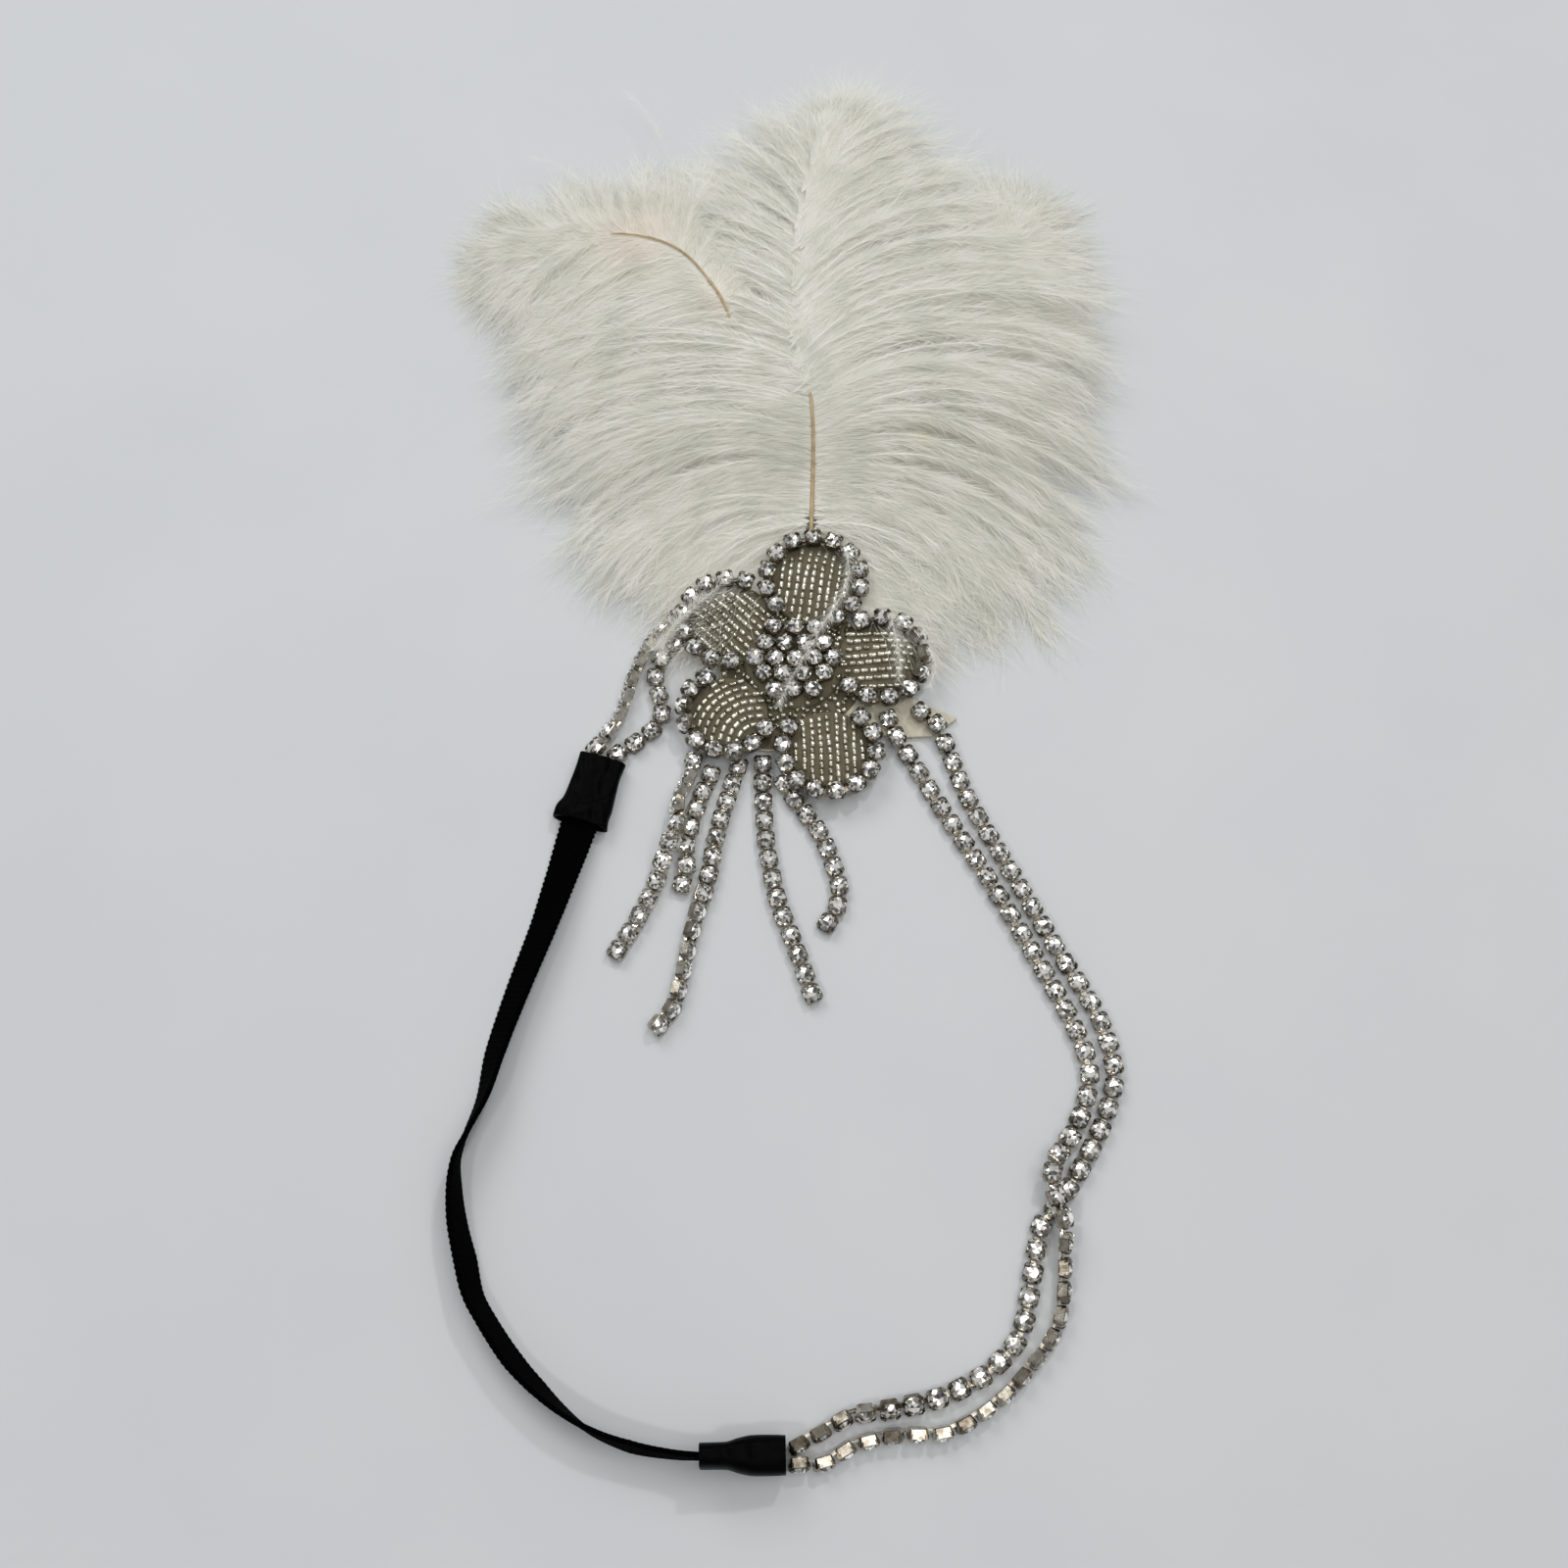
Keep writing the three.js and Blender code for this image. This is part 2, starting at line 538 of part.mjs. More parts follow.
// The elastic: a flat strip that rolls over on its way from one sleeve to the other
function elastic() {
  const start = satinMouth.clone().addScaledVector(headingVector(satin.heading), satin.length);
  const end = shrinkFar;
  const chord = end.clone().sub(start);
  const out = new THREE.Vector2(-chord.y, chord.x).normalize();
  const raised = (satin.height - band.thickness) / 2;
  const raisedOnEdge = (shrink.height - band.width) / 2;
  const atSleeves = { 0: raised, 1: raisedOnEdge };
  const rows = bandCourse.map(([share, bow, roll]) => {
    const spot = start.clone().addScaledVector(chord, share).addScaledVector(out, bow * band.bow);
    return [spot.x, spot.y, atSleeves[share] ?? 0, roll];
  });
  const inStart = start.clone().addScaledVector(headingVector(satin.heading), -band.tuck);
  const inEnd = end.clone().addScaledVector(headingVector(shrink.heading), -band.tuck);
  const route = [[inStart.x, inStart.y, raised, 0], ...rows, [inEnd.x, inEnd.y, raisedOnEdge, 90]];
  const body = new Body();
  const rings = seatsOn(route, band.step).map(({ x, y, low, along, roll }) => {
    const inward = new THREE.Vector3(-along.y, along.x, 0).normalize();
    const wide = [Math.cos(roll) * (band.width / 2), Math.sin(roll) * (band.width / 2)];
    const thick = [-Math.sin(roll) * (band.thickness / 2), Math.cos(roll) * (band.thickness / 2)];
    const corners = [[1, -1], [1, 1], [-1, 1], [-1, -1]].map(([w, t]) => [
      w * wide[0] + t * thick[0],
      w * wide[1] + t * thick[1],
    ]);
    const under = Math.min(...corners.map((corner) => corner[1]));
    const lift = low - under;
    return body.add(corners.map(([side, up]) => [x + inward.x * side, y + inward.y * side, up + lift]));
  });
  for (let i = 1; i < rings.length; i += 1) body.skin(rings[i], rings[i - 1], 4);
  body.quad(rings[0] + 3, rings[0] + 2, rings[0] + 1, rings[0]);
  const last = rings.at(-1);
  body.quad(last, last + 1, last + 2, last + 3);
  return body;
}
place("elastic_band", elastic().geometry(), materials.elastic);

// The dome that the plumes fill, and one layer's lowest and highest surface there
function layerHeights(layer, x, y) {
  const off = Math.hypot(x - loft.middle[0], y - loft.middle[1]) / loft.radius;
  const ramp = 0.15 + 0.85 * THREE.MathUtils.smoothstep(y, loft.rampFrom, loft.rampTo);
  const dome = loft.edge + (loft.crown - loft.edge) * Math.max(0, 1 - off * off) * ramp;
  const thick = (dome - (layers - 1) * loft.between) / layers;
  const low = layer * (thick + loft.between);
  return [low, low + thick];
}

function blend(rows, share) {
  const next = Math.max(1, rows.findIndex((row) => row[0] >= share));
  const [a, b] = [rows[next - 1], rows[next]];
  const part = THREE.MathUtils.clamp((share - a[0]) / (b[0] - a[0]), 0, 1);
  return a.map((value, k) => THREE.MathUtils.lerp(value, b[k], part));
}

// A barb is an arc that leaves the quill at one angle and droops to another
function barbPoint(origin, from, to, length, share) {
  const bend = to - from;
  const reach = length / bend;
  const angle = from + bend * share;
  return [
    origin[0] + reach * (Math.sin(angle) - Math.sin(from)),
    origin[1] - reach * (Math.cos(angle) - Math.cos(from)),
  ];
}

// Fourteen points round a plume at one place on its quill: right tip, over the top to the left tip, and back
function vaneRing(plume, curve, share, ridge) {
  const point = curve.getPoint(share);
  const along = curve.getTangent(share);
  const heading = Math.atan2(along.y, along.x);
  const vane = (share - quill.bare) / (1 - quill.bare);
  const bare = vane < 0;
  const row = blend(plume.barbs, Math.max(0, vane));
  const notch = ridge ? 1 : 0.8;
  const rootOf = (side) => [
    point.x - Math.sin(heading) * quill.radius * side,
    point.y + Math.cos(heading) * quill.radius * side,
  ];
  const barb = (side, part) => {
    const [open, droop, length] = side > 0 ? row.slice(1, 4) : row.slice(4, 7);
    const full = bare ? quill.radius : length * plume.reach * notch;
    const from = heading + side * turn(bare ? 80 : open);
    return barbPoint(rootOf(side), from, heading + side * turn(bare ? 90 : droop), full, part);
  };
  const lift = bare ? Math.max(0, (share / quill.bare - quill.under) / (1 - quill.under)) : 1;
  const height = ([x, y], level, roundness) => {
    const [low, high] = layerHeights(plume.layer, x, y);
    const inVane = low + (high - low) * level;
    const inSeat = quill.seat + quill.radius * roundness;
    return [x, y, THREE.MathUtils.lerp(inSeat, inVane, lift)];
  };
  const crest = height([point.x, point.y], 1, 1.2);
  crest[2] += lift * quill.rise;
  const side = ridge ? 1 : 0.68;
  return [
    height(barb(-1, 1), 0.45, 0), height(barb(-1, 2 / 3), side, 0.4), height(barb(-1, 1 / 3), side, 0.7),
    height(rootOf(-1), 1, 1), crest, height(rootOf(1), 1, 1),
    height(barb(1, 1 / 3), side, 0.7), height(barb(1, 2 / 3), side, 0.4), height(barb(1, 1), 0.45, 0),
    height(barb(1, 2 / 3), 0, -0.5), height(barb(1, 1 / 3), 0, -0.8), height([point.x, point.y], 0, -1.2),
    height(barb(-1, 1 / 3), 0, -0.8), height(barb(-1, 2 / 3), 0, -0.5),
  ];
}

function plumeBody(plume) {
  const spots = plume.quill.map(([x, y]) => new THREE.Vector3(
    plume.foot[0] + x * plume.length,
    plume.foot[1] + y * plume.length,
    0,
  ));
  const curve = new THREE.CatmullRomCurve3(spots, false, "centripetal");
  const body = new Body();
  const bareStops = [0, quill.under, 0.8].map((part) => part * quill.bare);
  const vaneStops = Array.from({ length: 2 * plume.locks + 1 }, (_, i) => (
    quill.bare + ((1 - quill.bare) * i) / (2 * plume.locks)
  ));
  const outlines = [
    ...bareStops.map((share) => vaneRing(plume, curve, share, true)),
    ...vaneStops.map((share, i) => vaneRing(plume, curve, share, i % 2 === 0)),
  ];
  const rings = outlines.map((ring) => body.add(ring));
  for (let i = 1; i < rings.length; i += 1) body.skin(rings[i - 1], rings[i], outlines[i].length);
  const cap = [
    [0, 1, 13], [1, 2, 12], [1, 12, 13], [2, 3, 11], [2, 11, 12], [3, 4, 11],
    [4, 5, 11], [5, 6, 10], [5, 10, 11], [6, 7, 9], [6, 9, 10], [7, 8, 9],
  ];
  const last = rings.at(-1);
  for (const [a, b, c] of cap) {
    body.triangles.push([a, b, c]);
    body.triangles.push([last + c, last + b, last + a]);
  }
  return body;
}
for (const plume of plumes) place(plume.name, plumeBody(plume).geometry(), materials.plume);

export default headband;
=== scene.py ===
from math import cos, pi, radians, sin

import bpy
import numpy as np
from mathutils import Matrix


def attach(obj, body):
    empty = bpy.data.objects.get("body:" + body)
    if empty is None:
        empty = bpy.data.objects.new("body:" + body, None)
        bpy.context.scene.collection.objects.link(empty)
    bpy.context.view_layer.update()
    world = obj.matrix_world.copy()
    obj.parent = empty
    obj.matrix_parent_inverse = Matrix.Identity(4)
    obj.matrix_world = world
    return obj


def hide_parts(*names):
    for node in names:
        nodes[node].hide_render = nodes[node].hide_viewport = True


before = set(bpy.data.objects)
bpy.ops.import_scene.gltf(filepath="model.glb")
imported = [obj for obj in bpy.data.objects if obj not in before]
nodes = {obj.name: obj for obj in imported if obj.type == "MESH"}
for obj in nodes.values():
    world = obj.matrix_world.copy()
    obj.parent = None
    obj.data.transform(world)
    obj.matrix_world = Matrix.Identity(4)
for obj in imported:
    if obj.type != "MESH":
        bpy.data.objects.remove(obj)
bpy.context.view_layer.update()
MM = 0.001
chance = np.random.default_rng(1926)


def show(thing):
    bpy.context.scene.collection.objects.link(thing)


# The camera stands where the photograph's stood, above the band's far end and tilted towards the plumes
def set_camera():
    eye = bpy.data.cameras.new("table_view")
    eye.sensor_width = 36
    eye.lens = 42.75
    eye.clip_start = 0.02
    camera = bpy.data.objects.new("table_view", eye)
    camera.location = (-0.002278, -0.191496, 0.37783)
    camera.rotation_euler = (radians(23.3), 0, 0)
    show(camera)
    bpy.context.scene.camera = camera


set_camera()


# Shader sockets that take part in Python expressions
class Wire:
    def __init__(self, finish, socket):
        self.finish = finish
        self.socket = socket

    def maths(self, operation, *values):
        inputs = dict(enumerate(values))
        return self.finish.node("Math", {"operation": operation}, inputs)

    def __add__(self, other):
        return self.maths("ADD", self, other)

    def __radd__(self, other):
        return self.maths("ADD", other, self)

    def __sub__(self, other):
        return self.maths("SUBTRACT", self, other)

    def __rsub__(self, other):
        return self.maths("SUBTRACT", other, self)

    def __mul__(self, other):
        return self.maths("MULTIPLY", self, other)

    def __rmul__(self, other):
        return self.maths("MULTIPLY", other, self)

    def __truediv__(self, other):
        return self.maths("DIVIDE", self, other)

    def sine(self):
        return self.maths("SINE", self)

    def held(self):
        return self.finish.node("Clamp", {}, {"Value": self})


def socket_name(word):
    return word.replace("_", " ").title().replace("Ior", "IOR")


# One material: its nodes, and the shader that they feed
class Finish:
    def __init__(self, name, **constants):
        self.material = bpy.data.materials.new(name)
        self.material.use_nodes = True
        self.tree = self.material.node_tree
        self.shader = self.tree.nodes["Principled BSDF"]
        for socket, value in constants.items():
            self.shader.inputs[socket_name(socket)].default_value = value

    def node(self, kind, settings=None, inputs=None, output=0):
        made = self.tree.nodes.new("ShaderNode" + kind)
        for key, value in (settings or {}).items():
            if key == "stops":
                self.set_stops(made.color_ramp, value)
            else:
                setattr(made, key, value)
        for key, value in (inputs or {}).items():
            self.join(made.inputs[key], value)
        return Wire(self, made.outputs[output])

    def set_stops(self, ramp, stops):
        while len(ramp.elements) < len(stops):
            ramp.elements.new(0.5)
        for element, (place, colour) in zip(ramp.elements, stops):
            element.position = place
            element.color = (*colour, 1)

    def join(self, socket, value):
        if isinstance(value, Wire):
            self.tree.links.new(value.socket, socket)
        else:
            socket.default_value = value

    def feed(self, **wires):
        for socket, wire in wires.items():
            self.join(self.shader.inputs[socket_name(socket)], wire)

    # Distances in the object's own frame, in millimetres
    def place(self):
        spot = self.node("TexCoord", {}, {}, output=3)
        return self.node("VectorMath", {"operation": "SCALE"}, {0: spot, 3: 1 / MM})

    def axes(self, spot):
        return [self.node("SeparateXYZ", {}, {0: spot}, output=k) for k in range(3)]

    # Even noise from 0 to 1, with grains of the given size in millimetres
    def noise(self, size, detail=3.0, spot=None):
        where = self.place() if spot is None else spot
        inputs = {"Vector": where, "Scale": 1 / size, "Detail": detail}
        return self.node("TexNoise", {}, inputs)

    # How near a point lies to a spot given in millimetres: 1 there, 0 from the given reach on
    def near(self, spot, reach):
        inputs = {0: self.place(), 1: spot}
        away = self.node("VectorMath", {"operation": "DISTANCE"}, inputs, output=1)
        return (1 - away / reach).held()

    def told(self, name):
        return self.node("Attribute", {"attribute_name": name}, {}, output=2)

    def ramp(self, value, stops):
        return self.node("ValToRGB", {"stops": stops}, {0: value})

    def mix(self, share, first, second):
        settings = {"data_type": "RGBA"}
        ends = [end if isinstance(end, Wire) else (*end, 1) for end in (first, second)]
        return self.node("Mix", settings, {0: share, 6: ends[0], 7: ends[1]}, output=2)

    def bump(self, height, depth, strength=1.0):
        inputs = {"Strength": strength, "Distance": depth * MM, "Height": height}
        self.feed(normal=self.node("Bump", {}, inputs))


# Cut crystal: each facet has its own tone, a painted reflection from a dark one to a bright one, and the
# bright facets glow a little besides, a painted glint
def crystal_finish():
    finish = Finish("cut_crystal", roughness=0.07, coat_weight=1.0, coat_roughness=0.02)
    tone = finish.told("tone")
    stops = [
        (0.0, (0.03, 0.027, 0.022)), (0.3, (0.15, 0.142, 0.125)), (0.5, (0.42, 0.408, 0.375)),
        (0.72, (0.82, 0.805, 0.765)), (1.0, (1.0, 0.985, 0.95)),
    ]
    painted_glint = [(0.0, (0, 0, 0)), (0.7, (0.04, 0.038, 0.034)), (1.0, (0.75, 0.735, 0.69))]
    # Emission by the same tone paints glints on the brighter facets
    finish.feed(base_color=finish.ramp(tone, stops), metallic=0.86, emission_color=finish.ramp(tone, painted_glint))
    finish.shader.inputs["Emission Strength"].default_value = 0.38
    return finish.material


# Old cup metal: bright nickel that has gone brown in patches. A cup's tone says how far
def pewter_finish():
    finish = Finish("aged_nickel", metallic=1.0)
    tarnish = (finish.noise(1.6, 3.0) * 1.2 - 0.35 + finish.told("tone") * 0.75).held()
    stops = [
        (0.0, (0.045, 0.034, 0.023)), (0.35, (0.16, 0.132, 0.098)), (0.7, (0.46, 0.42, 0.35)),
        (1.0, (0.84, 0.80, 0.71)),
    ]
    finish.feed(base_color=finish.ramp(tarnish, stops), roughness=0.32 - 0.2 * tarnish)
    finish.bump(finish.noise(0.3, 3.0), 0.03, 0.5)
    return finish.material


# Silver lined glass beads, whose brighter ones also glow faintly by their tone, a painted glint
def bead_finish():
    finish = Finish("silver_lined_glass", roughness=0.14, coat_weight=1.0, coat_roughness=0.04)
    stops = [(0.0, (0.145, 0.128, 0.08)), (0.5, (0.47, 0.437, 0.335)), (1.0, (0.82, 0.787, 0.67))]
    painted_glint = [(0.0, (0, 0, 0)), (0.6, (0.03, 0.028, 0.022)), (1.0, (0.4, 0.385, 0.33))]
    tone = finish.told("tone")
    # Emission by the bead's tone paints a glint on it
    finish.feed(base_color=finish.ramp(tone, stops), metallic=0.8, emission_color=finish.ramp(tone, painted_glint))
    finish.shader.inputs["Emission Strength"].default_value = 0.2
    return finish.material


# Fine beige net on cloth, darker in its holes
def net_finish():
    finish = Finish("beige_net", roughness=0.85)
    spot = finish.place()
    x, y, _ = finish.axes(spot)
    threads = ((x + y) * (2 * pi / 0.62)).sine() * ((x - y) * (2 * pi / 0.62)).sine()
    weave = threads * 0.5 + 0.5
    cloud = finish.noise(3.5, 3.0, spot)
    tone = (weave * 0.45 + cloud * 0.7 - 0.1).held()
    stops = [(0.0, (0.073, 0.062, 0.034)), (0.5, (0.146, 0.127, 0.076)), (1.0, (0.235, 0.208, 0.132))]
    finish.feed(base_color=finish.ramp(tone, stops))
    finish.bump(weave, 0.12, 0.6)
    return finish.material


# Pressed cream felt, its fibres lying every way
def felt_finish():
    finish = Finish("cream_felt", roughness=0.95, sheen_weight=0.3, sheen_roughness=0.5)
    spot = finish.place()
    fibres = finish.noise(0.35, 6.0, spot)
    tone = (fibres * 0.8 + finish.noise(6.0, 2.0, spot) * 0.4 - 0.1).held()
    stops = [(0.0, (0.46, 0.42, 0.31)), (0.5, (0.62, 0.58, 0.46)), (1.0, (0.76, 0.73, 0.62))]
    finish.feed(base_color=finish.ramp(tone, stops))
    finish.bump(fibres, 0.15, 0.7)
    return finish.material


# Ivory ostrich: cream at heart, with paler and faintly green-grey patches. A plume may have blushes, tints
# that each fade out from one spot
def feather_finish(name="ivory_plume", blushes=()):
    # A faint cream emission lifts the shaded depths between barbs and locks: painted light
    finish = Finish(name, roughness=0.85, specular_ior_level=0.12, emission_strength=0.06)
    finish.shader.inputs["Emission Color"].default_value = (1.0, 0.985, 0.90, 1)
    patch = finish.noise(9.0, 3.0)
    stops = [(0.3, (0.70, 0.70, 0.635)), (0.5, (0.775, 0.765, 0.70)), (0.72, (0.83, 0.82, 0.765))]
    colour = finish.ramp(patch, stops)
    for spot, reach, share, tint in blushes:
        colour = finish.mix(finish.near(spot, reach) * share, colour, tint)
    finish.feed(base_color=colour)
    return finish.material


# The plumes' horn quills, ochre with darker streaks
def quill_finish():
    finish = Finish("ochre_quill", roughness=0.38, coat_weight=0.3, coat_roughness=0.2)
    streak = finish.noise(2.2, 5.0)
    stops = [(0.25, (0.30, 0.19, 0.08)), (0.5, (0.50, 0.36, 0.18)), (0.8, (0.64, 0.52, 0.31))]
    finish.feed(base_color=finish.ramp(streak, stops))
    finish.bump(streak, 0.05, 0.5)
    return finish.material


# Black elastic: fine ribs across the band, worked from how far along and across it a point lies. The rib
# crests are painted a little lighter, a painted highlight, and flecked with lint
def elastic_finish():
    finish = Finish("ribbed_elastic", roughness=0.8, specular_ior_level=0.01)
    run = finish.told("run")
    across = finish.told("across")
    ribs = ((run + across * 0.8) * (2 * pi / 0.62)).sine() * 0.5 + 0.5
    cords = (across * (2 * pi / 1.05)).sine() * 0.5 + 0.5
    weave = ribs * 0.65 + cords * 0.35
    lint = finish.noise(0.8, 5.0)
    # Lighter on the crests of ribs and cords, a painted highlight, and where the noise puts lint
    tone = (weave * 0.7 + lint * 0.5 - 0.2).held()
    stops = [(0.0, (0.0003, 0.0003, 0.0004)), (0.6, (0.0011, 0.0011, 0.0012)), (1.0, (0.005, 0.005, 0.0053))]
    finish.feed(base_color=finish.ramp(tone, stops))
    finish.bump(weave, 0.16, 0.8)
    return finish.material


# Black satin, close woven, with a soft gleam along its folds
def satin_finish():
    finish = Finish("black_satin", specular_ior_level=0.02)
    spot = finish.place()
    x, y, _ = finish.axes(spot)
    weft = ((y * 0.96 + x * 0.28) * (2 * pi / 0.34)).sine() * 0.5 + 0.5
    cloud = finish.noise(2.4, 4.0, spot)
    stops = [(0.3, (0.0008, 0.0008, 0.001)), (0.7, (0.0026, 0.0026, 0.003))]
    finish.feed(base_color=finish.ramp(cloud, stops), roughness=0.32 + 0.16 * cloud)
    finish.bump(weft * 0.3 + cloud * 0.6, 0.07, 0.5)
    return finish.material


# The smooth black end sleeve, semi gloss, lightly rubbed
def sleeve_finish():
    finish = Finish("smooth_sleeve", specular_ior_level=0.02)
    rub = finish.noise(1.6, 5.0)
    stops = [(0.3, (0.0008, 0.0008, 0.001)), (0.8, (0.0026, 0.0026, 0.003))]
    finish.feed(base_color=finish.ramp(rub, stops), roughness=0.28 + 0.2 * rub)
    finish.bump(rub, 0.06, 0.4)
    return finish.material


# Pale cool table top
def table_finish():
    finish = Finish("pale_table", roughness=0.6)
    cloud = finish.noise(60.0, 3.0)
    stops = [(0.3, (0.632, 0.647, 0.66)), (0.7, (0.656, 0.67, 0.68))]
    finish.feed(base_color=finish.ramp(cloud, stops))
    return finish.material


CRYSTAL = crystal_finish()
PEWTER = pewter_finish()
BEAD = bead_finish()
NET = net_finish()
FELT = felt_finish()
FEATHER = feather_finish()
PEACH_FEATHER = feather_finish("blushed_plume", [
    ((-38.0, 112.0, 15.0), 18.0, 0.42, (0.90, 0.76, 0.62)),
    ((-17.0, 90.0, 16.0), 13.0, 0.3, (0.90, 0.77, 0.65)),
])
SPOTTED_FEATHER = feather_finish("spotted_plume", [((30.2, 54.5, 13.5), 5.0, 0.36, (0.88, 0.78, 0.50))])
QUILL = quill_finish()
ELASTIC = elastic_finish()
SATIN = satin_finish()
SLEEVE = sleeve_finish()
TABLE = table_finish()


# Corner points and faces of one piece, gathered batch by batch
class Work:
    def __init__(self):
        self.batches = []
        self.count = 0

    def add(self, points, faces, look=0, tone=0.5, smooth=False, run=None, across=None):
        points = np.asarray(points, float).reshape(-1, 3)
        faces = np.asarray(faces, int)
        told = {"run": run, "across": across}
        self.batches.append({
            "points": points,
            "faces": faces + self.count,
            "look": np.full(len(faces), look),
            "tone": np.broadcast_to(np.asarray(tone, float), len(faces)),
            "smooth": np.full(len(faces), smooth),
            **{name: np.zeros(len(points)) if value is None else value for name, value in told.items()},
        })
        self.count += len(points)

    def column(self, name):
        return np.concatenate([batch[name] for batch in self.batches])

    def piece(self, name, finishes, replaced=()):
        sizes = np.concatenate([np.full(len(b["faces"]), b["faces"].shape[1]) for b in self.batches])
        corners = np.concatenate([b["faces"].ravel() for b in self.batches])
        points = self.column("points") * MM
        points[:, 2] = np.maximum(points[:, 2], 0)
        mesh = bpy.data.meshes.new(name)
        mesh.vertices.add(len(points))
        mesh.vertices.foreach_set("co", points.astype(np.float32).ravel())
        mesh.loops.add(len(corners))
        mesh.loops.foreach_set("vertex_index", corners.astype(np.int32))
        mesh.polygons.add(len(sizes))
        starts = np.concatenate([[0], np.cumsum(sizes)[:-1]])
        mesh.polygons.foreach_set("loop_start", starts.astype(np.int32))
        mesh.polygons.foreach_set("material_index", self.column("look").astype(np.int32))
        mesh.polygons.foreach_set("use_smooth", self.column("smooth").astype(bool))
        for label, domain in (("tone", "FACE"), ("run", "POINT"), ("across", "POINT")):
            values = self.column(label).astype(np.float32)
            if label == "tone" or values.any():
                mesh.attributes.new(label, "FLOAT", domain).data.foreach_set("value", values)
        for finish in finishes:
            mesh.materials.append(finish)
        mesh.update(calc_edges=True)
        made = bpy.data.objects.new(name, mesh)
        show(made)
        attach(made, "root")
        if replaced:
            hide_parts(*replaced)
        return made


def unit(vectors):
    return vectors / np.linalg.norm(vectors, axis=-1, keepdims=True)


def between(first, second, share):
    return first + (second - first) * share


def eased(value, low, high):
    share = np.clip((value - low) / (high - low), 0, 1)
    return share * share * (3 - 2 * share)


# Faces of a skin over rings of as many points: round the ring, or open at its seam
def skin_faces(rings, sides, closed=True):
    last = sides if closed else sides - 1
    step, turn = np.meshgrid(np.arange(rings - 1), np.arange(last), indexing="ij")
    after = (turn + 1) % sides
    near, far = step * sides, (step + 1) * sides
    return np.stack([near + turn, near + after, far + after, far + turn], axis=-1).reshape(-1, 4)


# A smooth route through given points: a centripetal Catmull-Rom curve
class Route:
    def __init__(self, points):
        self.points = np.array(points, float)
        self.spans = len(self.points) - 1
        self.dense = np.linspace(0, 1, 601)
        steps = np.linalg.norm(np.diff(self.at(self.dense), axis=0), axis=1)
        self.lengths = np.concatenate([[0], np.cumsum(steps)])

    def at(self, share):
        place = np.clip(np.atleast_1d(share), 0, 1) * self.spans
        row = np.minimum(place.astype(int), self.spans - 1)
        part = (place - row)[:, None]
        p = self.points
        framed = np.vstack([2 * p[0] - p[1], p, 2 * p[-1] - p[-2]])
        p0, p1, p2, p3 = (framed[row + k] for k in range(4))
        pairs = ((p0, p1), (p1, p2), (p2, p3))
        k0, k1, k2 = (np.sum((b - a) ** 2, axis=1, keepdims=True) ** 0.25 for a, b in pairs)
        leave = ((p1 - p0) / k0 - (p2 - p0) / (k0 + k1) + (p2 - p1) / k1) * k1
        arrive = ((p2 - p1) / k1 - (p3 - p1) / (k1 + k2) + (p3 - p2) / k2) * k1
        square = -3 * p1 + 3 * p2 - 2 * leave - arrive
        cube = 2 * p1 - 2 * p2 + leave + arrive
        return p1 + part * (leave + part * (square + part * cube))

    def heading(self, share):
        share = np.atleast_1d(share)
        return unit(self.at(share + 1e-4) - self.at(share - 1e-4))

    def total(self):
        return self.lengths[-1]

    # The curve's own parameter at a share of its length
    def evenly(self, share):
        return np.interp(np.asarray(share) * self.total(), self.lengths, self.dense)


# A seat holds one set stone: its middle in plan, lowest height, the chain's direction there and the roll
class Seats:
    def __init__(self, x, y, low, along, roll):
        self.x = np.asarray(x, float)
        self.y = np.asarray(y, float)
        self.low = np.asarray(low, float)
        self.along = np.asarray(along, float)
        self.roll = np.asarray(roll, float)


CUP = {"foot": 3.1, "width": 4.1, "wall": 2.1, "crown": 0.8, "table": 1.9}
PITCH = {"side": 4.7, "fringe": 4.35, "rim": 4.75, "centre": 4.5}
GAP = 0.3
CUP_HEIGHT = CUP["wall"] + CUP["crown"]
CUP_REACH = CUP["width"] / 2 / cos(pi / 8)


def seats_on(route, spacing=None, shares=None):
    curve = Route([row[:3] for row in route])
    if shares is None:
        shares = np.linspace(0, 1, max(1, round(curve.total() / spacing)) + 1)
    own = curve.evenly(shares)
    spots = curve.at(own)
    rolls = np.interp(own * (len(route) - 1), np.arange(len(route)), [row[3] for row in route])
    low = np.maximum(0, spots[:, 2])
    return Seats(spots[:, 0], spots[:, 1], low, curve.heading(own), np.radians(rolls))


# Each seat's place and its three directions: along the chain, across it, and out through the stone's table
def seat_frames(seats):
    along = seats.along
    side = unit(np.stack([-along[:, 1], along[:, 0], np.zeros(len(along))], axis=1))
    up = np.cross(along, side)
    swing, lift = np.sin(seats.roll)[:, None], np.cos(seats.roll)[:, None]
    out = up * lift + side * swing
    across = side * lift - up * swing
    axes = np.stack([along, across, out], axis=1)
    foot, table = CUP["foot"] / 2, CUP["table"] / 2
    ring = (np.arange(8) - 0.5) * pi / 4
    outline = [[u * foot, w * foot, 0] for u in (-1, 1) for w in (-1, 1)]
    outline += [[CUP_REACH * cos(a), CUP_REACH * sin(a), CUP["wall"]] for a in ring]
    outline += [[u * table, w * table, CUP_HEIGHT] for u in (-1, 1) for w in (-1, 1)]
    corners = np.array(outline) - [0, 0, CUP_HEIGHT / 2]
    lowest = np.einsum("vk,nk->nv", corners, axes[:, :, 2]).min(axis=1)
    middle = np.stack([seats.x, seats.y, seats.low - lowest], axis=1)
    return middle - out * CUP_HEIGHT / 2, axes


def ring_of(radius, height, count, offset=0.0):
    angles = (np.arange(count) + offset) * 2 * pi / count
    return np.stack([radius * np.cos(angles), radius * np.sin(angles), np.full(count, height)], axis=1)


